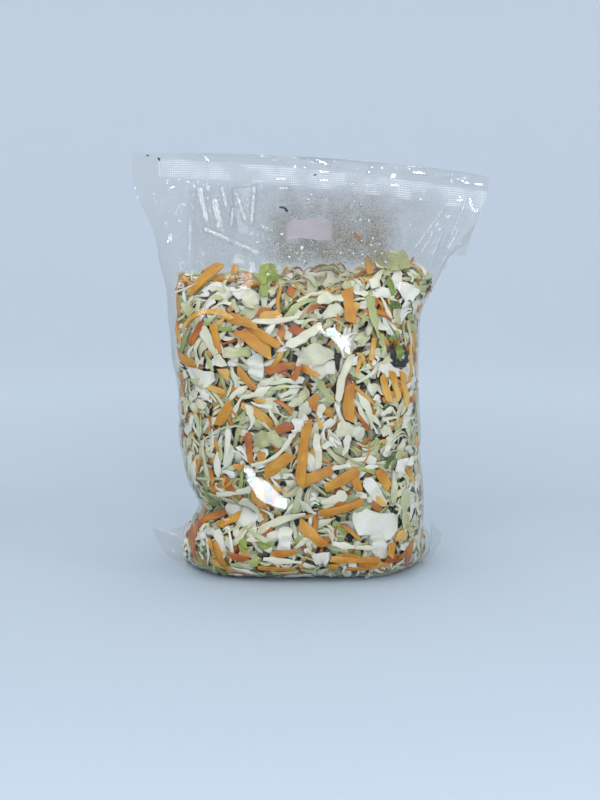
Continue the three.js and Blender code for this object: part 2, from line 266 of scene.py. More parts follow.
# How one cut lies. It is walked out in steps, shorter for a wide piece, and at most LONGEST_WALK of
# them. It ends where the skin's normals at two steps have a smaller cosine than SHARP_TURN.
WALK_STEP, WIDE_STEP, LONGEST_WALK = 1.6, 0.65, 12.0
SHARP_TURN, SWAY_RATE = 0.5, 1.3
SAG = 0.3  # how far a limp shred sags between the places that it rests on
TAPER = {True: (0.02, 0.12), False: (0.12, 0.4)}  # the shares over which blunt and fine ends taper
TIP_THINNING = 0.45  # how much thinner a cut is at its tips
PRESSED_CALM = 0.3  # a cut pressed on the film rolls, twists and arches by only this share
# It feels for what is already there within a share of its width and a little more. Its middle lies
# below that by a share of half its own height and a little more, and it takes a share below itself.
FELT_SHARE, FELT_MORE = 0.42, 0.45
OWN_SHARE, OWN_MORE, TAKEN_SHARE = 0.65, 0.05, 0.3
# How much a leaf's edge frills, its section cups and its ends slant, and a carrot's ends slant.
FRILL, CUP, SLANT, CRISP_SLANT = 0.1, (-0.12, 0.25), 0.8, 1.3
SOFT_SHARE = 0.3  # a narrow shred cups and frills by only this share of what a leaf piece does
WRINKLE, WRINKLED_WIDTH, WRINKLES = 0.045, 7.0, 3  # of a leaf piece's width, up to this width
FIBRE_RUN, FIBRE_SPREAD = 0.12, 1.5  # fibres for each millimetre along and across a cut
FIBRE_LOTS = 40  # how far apart the fibres of two cuts lie in the noise, so that they differ
CUT_CRISP = 38

# How the rest is filled in. Of TRIES places the emptiest is taken, and cuts that lie less deep than
# PRESSED_DEPTH press on the film. Short cuts are commoner the more SHORT_BIAS is over 1.
TRIES, SHORT_BIAS, PRESSED_DEPTH = 12, 1.4, 1.0
SWAY_SHARE = 0.12  # how much a cut wavers as it bends, as a share of its kind's bend
TONE_SHIFT = 0.12  # how far the tones of shreds that lie side by side differ

# Each kind of cut: how many, its length, width and thickness, the angle that it bends through
# in its own plane, how it rolls and twists, and how far it arches and plunges inwards.
CUTS = {
    "white_shreds": dict(count=1350, length=(7, 26), width=(1.5, 4.4), thick=(0.45, 0.9), bend=52,
                         roll=30, twist=70, arch=1.2, plunge=0.1, tip=(0.1, 0.9), ragged=0.36),
    "fine_shreds": dict(count=1340, length=(5, 17), width=(0.9, 2.3), thick=(0.35, 0.7), bend=64,
                        roll=40, twist=90, arch=1.4, plunge=0.14, tip=(0.1, 0.9), ragged=0.38),
    "pale_shreds": dict(count=920, length=(8, 28), width=(1.2, 3.4), thick=(0.45, 0.8), bend=60,
                        roll=34, twist=80, arch=1.2, plunge=0.1, tip=(0.1, 0.8), ragged=0.36),
    "cabbage_ribs": dict(count=220, length=(8, 22), width=(3.0, 6.0), thick=(1.0, 1.8), bend=36,
                         roll=18, twist=22, arch=1.0, plunge=0.08, tip=(0.3, 0.95), ragged=0.36),
    "leaf_pieces": dict(count=660, length=(5, 17), width=(3.2, 9.0), thick=(0.35, 0.6), bend=30,
                        roll=18, twist=32, arch=1.2, plunge=0.1, tip=(0.15, 0.9), ragged=0.5),
    "green_bits": dict(count=270, length=(4, 14), width=(1.6, 4.2), thick=(0.35, 0.6), bend=50,
                       roll=24, twist=44, arch=1.2, plunge=0.1, tip=(0.2, 0.7), ragged=0.4),
    "carrot_strips": dict(count=700, length=(7, 25), width=(1.8, 4.6), thick=(1.0, 1.8), bend=24,
                          roll=24, twist=18, arch=0.8, plunge=0.12, tip=(0.6, 1.0), ragged=0.1),
    "slivers": dict(count=520, length=(6, 18), width=(0.8, 1.9), thick=(0.5, 0.9), bend=50,
                    roll=40, twist=40, arch=1.0, plunge=0.12, tip=(0.2, 0.9), ragged=0.3),
    "clinging_piece": dict(count=0, length=(22, 22), width=(10, 10), thick=(0.8, 1.2), bend=0,
                           roll=2, twist=2, arch=0, plunge=0, tip=(0.82, 0.92), ragged=0.05),
}
# Cuts that lie loose on the heap: how many, the length and height that each may have, its share of
# the usual width, and how near to the heap's middle it starts, so that it stays in the bag.
LOOSE_CUTS = {"white_shreds": 40, "fine_shreds": 40, "pale_shreds": 26, "leaf_pieces": 14,
              "slivers": 18, "carrot_strips": 9}
LOOSE_LENGTH, LOOSE_HEIGHT, LOOSE_WIDTH = (7.0, 17.0), (0.8, 4.6), 0.85
LOOSE_REACH = (52.0, 15.0)
WIDE = {"leaf_pieces", "green_bits", "cabbage_ribs", "dark_leaf", "clinging_piece"}
CRISP = {"carrot_strips", "slivers"}
# Shreds sliced from one leaf often lie side by side. This is how many, as equal chances.
TOGETHER = {"white_shreds": (1, 1, 1, 2), "fine_shreds": (1, 1, 2, 3), "pale_shreds": (1, 1, 1, 2)}
# The shares of their length that they keep, how many widths apart they lie, and how far their
# directions differ.
KEPT_LENGTH, APART, FANNED = (0.75, 1.0), (0.7, 1.7), 0.22

# The pieces that press on the front of the film, laid one by one before the rest is filled in
# behind and between them: x, z, angle, length, width, bend, and tone from 0, deep, to 1, pale.
FRONT_PIECES = {
    "slivers": [(49, 156, -127, 8, 1.5, 0, 0.15), (24, 82, -51, 12, 1.5, 0, 0.15)],
    "dark_leaf": [
        (39.9, 112.6, -76, 11, 3.6, 60, 0.1), (43.2, 107.8, -8, 9, 3.8, 60, 0.2),
        (47.0, 112.0, 104, 10, 2.6, 60, 0.3), (-13.4, 181.9, -32, 5.6, 1.7, -80, 0),
        (-80.5, 207.2, 0, 1.2, 0.9, 0, 0.9), (-75.0, 205.4, -60, 1.9, 1.1, 0, 0),
        (2.2, 197.9, 40, 1.3, 1.1, 0, 0),
    ],
    "clinging_piece": [(-0.5, 172.6, 5, 24, 13.5, 0, 0.5)],
    "white_shreds": [
        (-56, 146, 18, 30, 1.4, 38, 0.8), (-27, 94, 21, 15, 3, 20, 0.5),
        (32, 149, -122, 12, 3.5, 10, 0.5), (24, 142, -4, 7, 3.5, 0, 0.5),
        (-28, 84, -77, 14, 3.5, -90, 0.5), (-17, 64, 37, 26, 2.5, 55, 0.5), (-38, 45, 17, 19, 3.5, 0, 0.5),
        (-14, 12, -5, 19, 3, 0, 0.5), (25, 83, -66, 12, 2.5, 10, 0.5), (11, 43, 21, 13, 4, 15, 0.5),
        (21, 19, -8, 21, 3, 12, 0.5), (-3, 39, -46, 11, 3, 30, 0.5),
    ],
    "cabbage_ribs": [
        (-17, 129, 5, 23, 3, 20, 0.5), (9, 140, 6, 12, 6.5, 0, 0.5), (-3, 122, 35, 19, 5.5, 0, 0.5),
        (15, 102, -107, 24, 4, 25, 0.5), (-15, 32, 20, 25, 4, -25, 0.5), (14, 59, 11, 9, 3, 0, 0.5),
        (3, 67, -85, 17, 4.5, 5, 0.5),
    ],
    "pale_shreds": [
        (-40, 150, 59, 13, 1.5, -30, 0.5), (-37, 136, -64, 7, 2, 40, 0.5), (-7, 136, 42, 18, 3.5, -50, 0.3),
        (-53, 97, -26, 21, 2, -50, 0.5), (-49, 129, 39, 9, 3, 0, 0.3), (30, 132, -81, 24, 4, 12, 0.3),
        (46, 122, -90, 13, 2, 8, 0.5), (49, 122, -93, 12, 2, -8, 0.5), (6, 96, -58, 14, 4.5, 10, 0.3),
        (-44, 67, -93, 12, 2, 10, 0.5), (-40, 27, 23, 11, 2, 0, 0.5), (-26, 25, -35, 16, 2.5, 10, 0.5),
        (47, 36, -93, 20, 5, 5, 0.5),
    ],
    "carrot_strips": [
        (22.7, 168.7, -64, 6, 2.5, 0, 0.4), (-52, 149, 43, 21, 5, 0, 0.6),
        (-52, 133, 3, 31, 2.5, -75, 0.85), (-37, 153, 85, 5, 3, 0, 0.5),
        (-31, 150, 0, 3, 4, 0, 0.15), (-34, 129, -19, 15, 4.5, 10, 0.5), (-27, 119, -35, 19, 6, 0, 0.5),
        (-23, 122, -34, 19, 4, 0, 0.5), (-20, 132, 6, 10, 4, 0, 0.85), (-46, 121, -75, 15, 3.5, 0, 0.5),
        (-31, 101, -48, 13, 3.5, 0, 0.5), (-50, 97, -18, 17, 2.5, 15, 0.85), (-42, 84, -123, 13, 4.5, 0, 0.5),
        (18, 137, -87, 17, 5.5, 0, 0.5), (21, 135, -115, 8, 3.5, 0, 0.85), (28, 155, -88, 9, 3.5, 0, 0.5),
        (-6, 124, -29, 9, 4.5, 0, 0.15), (-7, 104, 63, 7, 3, 0, 0.15), (-1, 105, -30, 9, 3, 0, 0.5),
        (18, 91, -93, 18, 5, 12, 0.5), (30, 116, -103, 11, 2.5, 0, 0.85), (36, 97, -72, 14, 3.5, 0, 0.85),
        (41, 98, -69, 15, 3.5, 0, 0.85), (46, 96, -72, 17, 4, 0, 0.85), (40, 93, 25, 14, 3, 0, 0.5),
        (50, 105, -94, 22, 2, 0, 0.85), (1, 90, -90, 7, 4.5, 0, 0.5), (-30, 69, -85, 15, 3, 0, 0.15),
        (-16, 60, 38, 16, 5.5, 0, 0.5), (-4, 66, -97, 32, 5, 6, 0.5), (-35, 58, 2, 3, 4, 0, 0.5),
        (-49, 53, -83, 7, 2.5, 20, 0.5), (-28, 45, -80, 8, 3, 0, 0.5), (-41, 31, 18, 12, 4, 0, 0.6),
        (-60, 19, -94, 21, 4, -8, 0.15), (-57, 5, 20, 10, 2.5, 0, 0.5), (-46, 14, -71, 15, 3.5, 8, 0.5),
        (-36, 13, -11, 9, 3.5, 0, 0), (-13, 16, 11, 12, 3.5, 0, 0.5), (-18, 7, 0, 18, 2, 0, 0.5),
        (0, 26, -43, 17, 5, 0, 0.5), (2, 54, 22, 19, 5.5, 0, 0.5), (14, 52, 29, 18, 5, 10, 0.5),
        (22, 51, -68, 9, 4, 0, 0.5), (35, 53, -56, 11, 4.5, 0, 0.5), (34, 41, -43, 6, 3, 0, 0.85),
        (15, 38, 17, 22, 4, 12, 0.5), (2, 32, -90, 11, 2.5, 0, 0.15), (19, 27, -39, 11, 2, 0, 0.5),
        (22, 12, -5, 25, 3, 5, 0.5), (20, 14, -22, 10, 2.5, 0, 0.5), (11, 8, -2, 5, 3.5, 0, 0.5),
        (31, 7, -3, 28, 2, 0, 0.5), (45, 23, 13, 7, 4.5, 0, 0.85), (40, 16, -98, 7, 3.5, 0, 0.5),
        (41, 11, -4, 6, 5, 0, 0), (50, 11, -72, 15, 4, 0, 0.15),
    ],
    "green_bits": [
        (-18.6, 152.4, -80, 9, 5.5, 0, 0.5), (-23.0, 151.8, -98, 11, 5, 10, 0.7),
        (-21.8, 147.5, -97, 15, 5.5, 0, 0.6), (43.4, 113.4, 80, 8, 5, 0, 0.45),
        (-42, 125, -3, 7, 2.5, 0, 0.6), (39, 145, -80, 9, 3.5, 15, 0.4), (40, 136, 2, 7, 5, 0, 0),
        (-32, 9, 22, 15, 5, 20, 0.9), (-33, 20, -91, 8, 4.5, 0, 0.6), (-22, 20, 0, 8, 5, 0, 0.6),
        (-49, 39, -38, 13, 4, 20, 0.4),
    ],
    "leaf_pieces": [
        (39.5, 157, 9, 19, 11, 10, 0.05), (-29, 139, 63, 9, 9.5, 0, 0.5),
        (-48, 116, -56, 22, 5.5, 10, 0.5), (-45, 119, -64, 12, 2.5, 10, 0.5),
        (-36, 114, 3, 14, 6, 10, 0.15), (-26, 107, -90, 13, 9.5, 0, 0.9), (-54, 101, -3, 16, 8.5, 0, 0.9),
        (34, 142, 1, 11, 5.5, 0, 0.9), (48, 142, -5, 13, 10, 0, 0.9), (11, 134, 10, 10, 7.5, 0, 0.5),
        (1, 113, 17, 16, 11.5, 0, 0.5), (5, 106, 13, 13, 8.5, 0, 0.9), (-21, 72, 5, 13, 9.5, 0, 0.1),
        (-35, 34, -21, 17, 11.5, 0, 0.9), (-13, 23, -90, 13, 8, 0, 0.9), (19, 76, -14, 14, 7.5, 0, 0.5),
        (31, 46, -53, 17, 6.5, 0, 0.9), (32, 30, -17, 25, 13.5, 0, 0.9), (34, 19, -78, 15, 8.5, 0, 0.9),
        (5, 13, 0, 8, 9, 0, 0.9),
    ],
}


# ---- small tools --------------------------------------------------------------------------
def smooth_ramp(start, end, value):
    t = np.clip((value - start) / (end - start), 0.0, 1.0)
    return t * t * (3.0 - 2.0 * t)


def mesh_object(name, points, faces, smooth=True, crisp=None):
    """A mesh from points in millimetres. Its edges over the crisp angle stay sharp."""
    mesh = bpy.data.meshes.new(name)
    mesh.from_pydata((np.asarray(points) * MM).tolist(), [], faces)
    mesh.polygons.foreach_set("use_smooth", [smooth] * len(mesh.polygons))
    mesh.update()
    if crisp:
        mesh.set_sharp_from_angle(angle=math.radians(crisp))
    obj = bpy.data.objects.new(name, mesh)
    bpy.context.scene.collection.objects.link(obj)
    return obj


def add_layer(obj, name, kind, values):
    """Stores a value for each of a mesh's points, for its material or its nodes to read."""
    layer = obj.data.attributes.new(name, kind, "POINT")
    field = {"FLOAT_COLOR": "color", "FLOAT_VECTOR": "vector", "FLOAT": "value"}[kind]
    layer.data.foreach_set(field, np.asarray(values, np.float32).ravel())


def applied(obj):
    """The mesh of an object with its modifiers applied, and the object removed."""
    evaluated = obj.evaluated_get(bpy.context.evaluated_depsgraph_get())
    mesh = bpy.data.meshes.new_from_object(evaluated)
    bpy.data.objects.remove(obj)
    return mesh


def remeshed(obj, cell):
    """Points, normals and faces of an object's even voxel remesh, in millimetres."""
    remesh = obj.modifiers.new("even", "REMESH")
    remesh.mode = "VOXEL"
    remesh.voxel_size = cell * MM
    smooth = obj.modifiers.new("rounded", "SMOOTH")
    smooth.factor, smooth.iterations = 0.5, 8
    mesh = applied(obj)
    points = np.zeros(len(mesh.vertices) * 3)
    normals = np.zeros(len(mesh.vertices) * 3)
    mesh.vertices.foreach_get("co", points)
    mesh.vertices.foreach_get("normal", normals)
    faces = [tuple(face.vertices) for face in mesh.polygons]
    bpy.data.meshes.remove(mesh)
    return points.reshape(-1, 3) / MM, normals.reshape(-1, 3), faces


def bag_surface():
    """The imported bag's outside in millimetres, for casting rays at."""
    points = np.zeros(len(BAG.data.vertices) * 3)
    BAG.data.vertices.foreach_get("co", points)
    faces = [tuple(face.vertices) for face in BAG.data.polygons]
    return BVHTree.FromPolygons((points.reshape(-1, 3) / MM).tolist(), faces)


# ---- the film's form ----------------------------------------------------------------------
def top_edge(x):
    left, right = TOP_EDGE["left"], TOP_EDGE["right"]
    share = np.clip((x - left[0]) / (right[0] - left[0]), 0.0, 1.0)
    return left[1] + (right[1] - left[1]) * share + TOP_EDGE["bow"] * 4.0 * share * (1.0 - share)


def film_row(surface, height):
    """One row of the sheet: points round the bag, from its left end over the front and back again."""
    def level(x):
        return height + (top_edge(x) - BAG_HEIGHT) * smooth_ramp(TILT_FROM, TILT_FULL, height)

    def cast(x, side):
        hit = surface.ray_cast((x, side * RAY_START, float(level(x))), (0.0, -side, 0.0))[0]
        return None if hit is None else hit.y

    low, high = -ROW_REACH, ROW_REACH
    if height < FOOT_HEIGHT:
        low, high = FOOT_LEFT, FOOT_RIGHT
    elif height > SHOULDER["z"][0]:
        high = float(np.interp(height, SHOULDER["z"], SHOULDER["x"])) + 1.0
    xs = [x for x in np.linspace(low, high, ROW_CASTS) if cast(x, -1.0) is not None]

    def end(inside, outside):
        for _ in range(END_HALVINGS):
            middle = (inside + outside) / 2.0
            if cast(middle, -1.0) is None:
                outside = middle
            else:
                inside = middle
        return inside

    step = (high - low) / (ROW_CASTS - 1)
    xs = [end(xs[0], max(xs[0] - step, low))] + xs[1:-1] + [end(xs[-1], min(xs[-1] + step, high))]
    sides = [np.array([cast(x, side) or 0.0 for x in xs]) for side in (-1.0, 1.0)]
    ends = (sides[0] + sides[1]) / 2.0
    half = []
    for ys in sides:
        line = np.stack([np.array(xs), ys], 1)
        line[0, 1], line[-1, 1] = ends[0], ends[-1]
        run = np.concatenate([[0.0], np.cumsum(np.linalg.norm(np.diff(line, axis=0), axis=1))])
        at = np.linspace(0.0, run[-1], COLUMNS + 1)
        half.append(np.stack([np.interp(at, run, line[:, 0]), np.interp(at, run, line[:, 1])], 1))
    pressed = PLY_PRESS * smooth_ramp(*PLY_PRESS_FROM, height)
    middle = (half[0][:, 1] + half[1][:, 1]) / 2.0
    for ys, side in ((half[0], -1.0), (half[1], 1.0)):
        gap = np.maximum((ys[:, 1] - middle) * side - pressed, PLY_HALF_GAP)
        gap[0] = gap[-1] = 0.0
        ys[:, 1] = middle + side * gap
    loop = np.concatenate([half[0], half[1][-2:0:-1]])
    return np.concatenate([loop, level(loop[:, 0])[:, None]], 1)


def eased(values, axis, times, wrap):
    """Values averaged with their neighbours along one way of the grid."""
    for _ in range(times):
        if wrap:
            before, after = np.roll(values, 1, axis), np.roll(values, -1, axis)
        else:
            padded = np.pad(values, [(1, 1) if a == axis else (0, 0) for a in range(3)], mode="edge")
            before, after = padded[:-2], padded[2:]
        values = (before + 2.0 * values + after) / 4.0
    return values


def film_grid(surface):
    """The sheet as rows of points, eased where the body is full, so that no edge of the solid shows."""
    last = BAG_HEIGHT - LAST_GAP
    low = np.arange(FIRST_ROW, FINE_FROM, LOW_STEP)
    high = np.arange(FINE_FROM, last, HIGH_STEP)
    heights = np.concatenate([low, high, [last]])
    grid = np.stack([film_row(surface, float(h)) for h in heights])
    upward = eased(grid, 0, EASED_UP, False)
    both = eased(upward, 1, EASED_ROUND, True)
    body = (1.0 - smooth_ramp(*EASED_BODY, heights))[:, None, None]
    return upward * (1.0 - body) + both * body


def grid_normals(grid):
    along = np.roll(grid, -1, 1) - np.roll(grid, 1, 1)
    up = np.gradient(grid, axis=0)
    normals = np.cross(along, up)
    return normals / (np.linalg.norm(normals, axis=2, keepdims=True) + 1e-9)


def seal_lines(x):
    """How far the heat seal's upper and lower lines lie below the top edge."""
    share = (x - SEAL_ENDS[0]) / (SEAL_ENDS[1] - SEAL_ENDS[0])
    upper = SEAL_UPPER[0] + (SEAL_UPPER[1] - SEAL_UPPER[0]) * share
    return upper, SEAL_LOWER[0] + (SEAL_LOWER[1] - SEAL_LOWER[0]) * share


def ridge(x, z, line, wide, tall):
    """One crease: a sharp-crested ridge along a line of points that dies out at both of its ends."""
    line = np.array(line, float)
    near = ((x > line[:, 0].min() - wide) & (x < line[:, 0].max() + wide)
            & (z > line[:, 1].min() - wide) & (z < line[:, 1].max() + wide))
    px, pz = x[near], z[near]
    runs = np.linalg.norm(np.diff(line, axis=0), axis=1)
    closest, share, before = np.full(px.shape, 1e9), np.zeros(px.shape), 0.0
    for start, end, run in zip(line[:-1], line[1:], runs):
        way = (end - start) / run
        t = np.clip((px - start[0]) * way[0] + (pz - start[1]) * way[1], 0.0, run)
        away = np.hypot(px - start[0] - t * way[0], pz - start[1] - t * way[1])
        share = np.where(away < closest, (before + t) / runs.sum(), share)
        closest = np.minimum(closest, away)
        before += run
    taper = np.clip(4.0 * share * (1.0 - share), 0.0, 1.0) ** CREASE_ENDS
    height = np.zeros(x.shape)
    height[near] = tall * taper * np.clip(1.0 - closest / wide, 0.0, 1.0) ** CREASE_CREST
    return height


def drawn_crease(lot, x, z, rng):
    """The line, half width and height of one crease of a lot that begins at x, z."""
    angle, length = math.radians(rng.uniform(*lot["angle"])), rng.uniform(*lot["length"])
    bow = rng.gauss(0.0, CREASE_BOW) * length
    way = (math.cos(angle), math.sin(angle))
    middle = (x + way[0] * length / 2 - way[1] * bow, z + way[1] * length / 2 + way[0] * bow)
    line = [(x, z), middle, (x + way[0] * length, z + way[1] * length)]
    return line, rng.uniform(*lot["wide"]), rng.uniform(*lot["tall"])


def loose_creases(rng):
    """Creases scattered over one sheet, and those that gather the film below the heat seal."""
    creases = []
    for lot in LOOSE_CREASES:
        for _ in range(lot["count"]):
            creases.append(drawn_crease(lot, rng.uniform(*lot["x"]), rng.uniform(*lot["z"]), rng))
    for _ in range(GATHERS["count"]):
        x = rng.uniform(*GATHERS["x"])
        z = top_edge(x) - seal_lines(x)[1] - rng.uniform(*GATHERS["below"])
        creases.append(drawn_crease(GATHERS, x, z, rng))
    return creases


def lip_crinkles(rng):
    """Short creases of the lip above the heat seal."""
    starts = [rng.uniform(*EDGE_CRINKLES["x"]) for _ in range(EDGE_CRINKLES["count"])]
    for x in starts:
        yield drawn_crease(EDGE_CRINKLES, x, top_edge(x) - rng.uniform(*EDGE_CRINKLES["below"]), rng)


def crinkled(grid):
    """The sheet with its creases, waves, crinkled upper edge and pressed facets."""
    x, z = grid[..., 0], grid[..., 2]
    front = np.zeros(x.shape, bool)
    front[:, :COLUMNS + 1] = True
    below = top_edge(x) - z
    upper, lower = seal_lines(x)
    joined = smooth_ramp(lower + SEAL_FLANK, lower, below)
    rng = random.Random(5)
    relief = {}
    for side, designed in ((True, FRONT_CREASES), (False, [])):
        relief[side] = sum(ridge(x, z, *crease) for crease in designed + loose_creases(rng))
    gap = np.abs(grid[..., 1] - np.roll(grid[:, ::-1], 1, 1)[..., 1])
    room = np.clip(gap / FULL_ROOM, 0.0, 1.0) * smooth_ramp(*WAVES_FROM, z)
    waves = sum(share * np.sin(x / across + z / up + start) for across, up, start, share in WAVES)
    outward = np.where(front, relief[True], relief[False]) + waves * WAVE_HEIGHT * room
    normals = grid_normals(grid)
    moved = grid + normals * (outward * (1.0 - joined))[..., None]
    edge = sum(ridge(x, z, *crinkle) for crinkle in lip_crinkles(rng))
    free = smooth_ramp(upper + 1.0, 0.0, below) * smooth_ramp(*LIP_CALM, x)
    sway = sum(height * np.sin(x / across + start) for across, start, height in LIP_WAVES)
    moved[..., 1] += (sway * free - edge) * joined
    return with_facets(moved, front, joined)


def strip_mask(x, z, middle, half_length, half_width, angle):
    """One inside a straight strip and zero outside it, and how far across it each point lies."""
    c, s = math.cos(math.radians(angle)), math.sin(math.radians(angle))
    along = (x - middle[0]) * c + (z - middle[1]) * s
    across = (z - middle[1]) * c - (x - middle[0]) * s
    ends = 1.0 - smooth_ramp(0.8, 1.0, np.abs(along) / half_length)
    return ends * (1.0 - smooth_ramp(0.7, 1.0, np.abs(across) / half_width)), across


def inside_edges(x, z, corners):
    """How far inside a shape given by its corners each point lies, and the way in from the nearest
    edge."""
    inside, way = np.full(x.shape, 1e9), np.zeros((2, *x.shape))
    for (ax, az), (bx, bz) in zip(corners, corners[1:] + corners[:1]):
        run = math.hypot(bx - ax, bz - az)
        in_x, in_z = (bz - az) / run, (ax - bx) / run
        far = (x - ax) * in_x + (z - az) * in_z
        way = np.where(far < inside, np.array([in_x, in_z])[:, None, None], way)
        inside = np.minimum(inside, far)
    return inside, way


def drawn_to_edges(x, z, corners, front):
    """Moves the front's points that lie within half a cell of a shape's edges onto them, so that the
    shape has straight edges."""
    inside, (in_x, in_z) = inside_edges(x, z, corners)
    cell = np.abs(in_x * np.gradient(x, axis=1)) + np.abs(in_z * np.gradient(z, axis=0))
    near = front & (np.abs(inside) < 0.5 * cell)
    x[near] -= (inside * in_x)[near]
    z[near] -= (inside * in_z)[near]


def with_facets(grid, front, joined):
    """The sheet with its long pleats, and with flat facets that mirror the lights."""
    x, z = grid[..., 0], grid[..., 2]
    reached = np.where(front, 1.0, joined > 0.5)
    for px, pz, half_length, half_width, angle, slope in PLEATS:
        mask, across = strip_mask(x, z, (px, pz), half_length, half_width, angle)
        grid[..., 1] += slope * across * mask * reached
    for shapes in PANES.values():
        for corners in shapes:
            drawn_to_edges(x, z, corners, front)
    eye = Vector(LOOK_AT) + to_eye(0.0, CAMERA_RISE) * CAMERA_DISTANCE
    places = grid[front]
    for light in FACET_ORDER:
        aim, rise, away = LIGHTS[light][:3]
        lamp = Vector(LOOK_AT) + to_eye(aim, rise) * away
        flats = [((fx, fz), strip_mask(x, z, (fx, fz), *size)[0]) for fx, fz, *size in FACETS.get(light, [])]
        for corners in PANES.get(light, []):
            mask = smooth_ramp(-PANE_RIM, 0.0, inside_edges(x, z, corners)[0])
            flats.append((tuple(np.mean(corners, 0)), mask))
        for (fx, fz), mask in flats:
            middle = Vector(places[np.argmin(np.hypot(places[:, 0] - fx, places[:, 2] - fz))])
            face = ((eye - middle).normalized() + (lamp - middle).normalized()).normalized()
            mask = mask * reached
            plane = middle.y - ((x - middle.x) * face.x + (z - middle.z) * face.z) / face.y
            sunk = (plane - grid[..., 1])[(mask > 0.5) & front]
            plane = plane - max(0.0, sunk.max() + FACET_LIFT) + np.where(front, 0.0, 2.0 * PLY_HALF_GAP)
            grid[..., 1] += (plane - grid[..., 1]) * mask
    return grid


def to_eye(aim, rise):
    """The direction from the bag to a point in front of it, by the angles round it and above it."""
    aim, rise = math.radians(aim), math.radians(rise)
    return Vector((math.sin(aim) * math.cos(rise), -math.cos(aim) * math.cos(rise), math.sin(rise)))


def spaced(line, count):
    """Points at even steps along a line of points."""
    line = np.array(line, float)
    run = np.concatenate([[0.0], np.cumsum(np.linalg.norm(np.diff(line, axis=0), axis=1))])
    at = np.linspace(0.0, run[-1], count)
    return np.stack([np.interp(at, run, line[:, k]) for k in range(3)], 1)


def film_corner(root, edge, spread):
    """A shell of two plies that meet all round, from where a corner leaves the bag to its free edge."""
    along, out = CORNER_CELLS
    inner, outer = spaced(root, along), spaced(edge, along)
    t = np.linspace(0.0, 1.0, out)[:, None, None]
    sheet = inner * (1.0 - t) + outer * t
    s = np.linspace(0.0, 1.0, along)[None, :]
    t = t[..., 0]
    apart = (PLY_HALF_GAP + spread * (1.0 - t) ** 1.4) * np.minimum(1.0, 10.0 * s * (1.0 - s))
    apart = apart * np.minimum(1.0, 12.0 * t * (1.0 - t) + 0.25 * (t < 0.5))
    apart[-1, :] = apart[0, :] = apart[:, 0] = apart[:, -1] = 0.0
    ripple = 0.5 * np.sin(s * 17.0 + t * 5.0) * t * (1.0 - t) * 4.0
    points, faces, ids = [], [], {}
    for side in (-1.0, 1.0):
        for i in range(out):
            for j in range(along):
                rim = i in (0, out - 1) or j in (0, along - 1)
                if not (rim and (i, j, -1.0) in ids):
                    ids[i, j, side] = len(points)
                    points.append(sheet[i, j] + np.array([0.0, side * apart[i, j] + ripple[i, j], 0.0]))
                else:
                    ids[i, j, side] = ids[i, j, -1.0]
        for i in range(out - 1):
            for j in range(along - 1):
                face = [ids[i, j, side], ids[i + 1, j, side], ids[i + 1, j + 1, side], ids[i, j + 1, side]]
                faces.append(face if (side < 0.0) == (outer[0, 0] > 0.0) else face[::-1])
    return points, faces


# ---- the slaw's outside -------------------------------------------------------------------
def heap_top(x, y):
    """Height of the heap's top at a place. It is uneven, and highest at the right."""
    waves = np.sin(x / 11.0 + 1.3) * np.cos(y / 9.0 - 0.4) + 0.6 * np.sin(x / 5.3 - y / 6.1)
    rise, *rise_over = HEAP_RISE
    drop, *drop_over = HEAP_DROP
    shoulder = rise * smooth_ramp(*rise_over, x) - drop * smooth_ramp(*drop_over, x)
    return HEAP_HEIGHT + HEAP_LUMPS * waves + shoulder


def slaw_block(surface):
    """Rings of points just inside the film, from the base's middle up the sides and over the heap."""
    around = BLOCK_AROUND
    aims = []
    for k in range(around):
        c, s = math.cos(FULL_TURN * k / around), math.sin(FULL_TURN * k / around)
        x = math.copysign(abs(c) ** OVAL_POWER, c) * OVAL_WIDE
        aims.append(Vector((x, math.copysign(abs(s) ** OVAL_POWER, s) * OVAL_DEEP, 0.0)).normalized())

    def edge(aim, z):
        hit = surface.ray_cast((SLAW_MIDDLE, 0.0, z), aim)[0]
        point = hit - aim * FILM_GAP
        reach = point.x - SLAW_MIDDLE
        limit = (SLAW_RIGHT if reach > 0.0 else SLAW_LEFT) - SLAW_MIDDLE
        if abs(reach) > abs(limit):
            point = Vector((limit + SLAW_MIDDLE, point.y * limit / reach, z))
        return point

    def side(aim, share):
        top = HEAP_HEIGHT
        for _ in range(3):
            rim = edge(aim, top)
            top = float(heap_top(rim.x, rim.y))
        z = SLAW_BASE + (top - SLAW_BASE) * share
        point = edge(aim, max(z, LOWEST_RAY))
        return Vector((point.x, point.y, z))

    rings = [[side(aim, i / BLOCK_RINGS) for aim in aims] for i in range(BLOCK_RINGS + 1)]
    base, rim = rings[0], rings[-1]
    for i in range(1, BLOCK_CAP + 1):
        share = 1.0 - i / (BLOCK_CAP + 0.5)
        below, above = [], []
        for p, q in zip(base, rim):
            below.append((p.x * share + SLAW_MIDDLE * (1.0 - share), p.y * share, SLAW_BASE))
            x, y = q.x * share + SLAW_MIDDLE * (1.0 - share), q.y * share
            above.append((x, y, float(heap_top(x, y))))
        rings.insert(0, below)
        rings.append(above)
    faces = []
    for r in range(len(rings) - 1):
        for k in range(around):
            n = (k + 1) % around
            faces.append((r * around + k, r * around + n, (r + 1) * around + n, (r + 1) * around + k))
    faces.append(tuple(range(around))[::-1])
    last = (len(rings) - 1) * around
    faces.append(tuple(last + k for k in range(around)))
    return mesh_object("slaw_block", [tuple(p) for ring in rings for p in ring], faces)


class Skin:
    """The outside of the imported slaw, with the depth to which each place is already taken."""

    def __init__(self, block):
        self.points, self.normals, faces = remeshed(block, SKIN_CELL)
        self.faces = faces
        self.tree = BVHTree.FromPolygons(self.points.tolist(), faces)
        self.near = KDTree(len(self.points))
        for i, point in enumerate(self.points):
            self.near.insert(point, i)
        self.near.balance()
        self.taken = np.zeros(len(self.points))


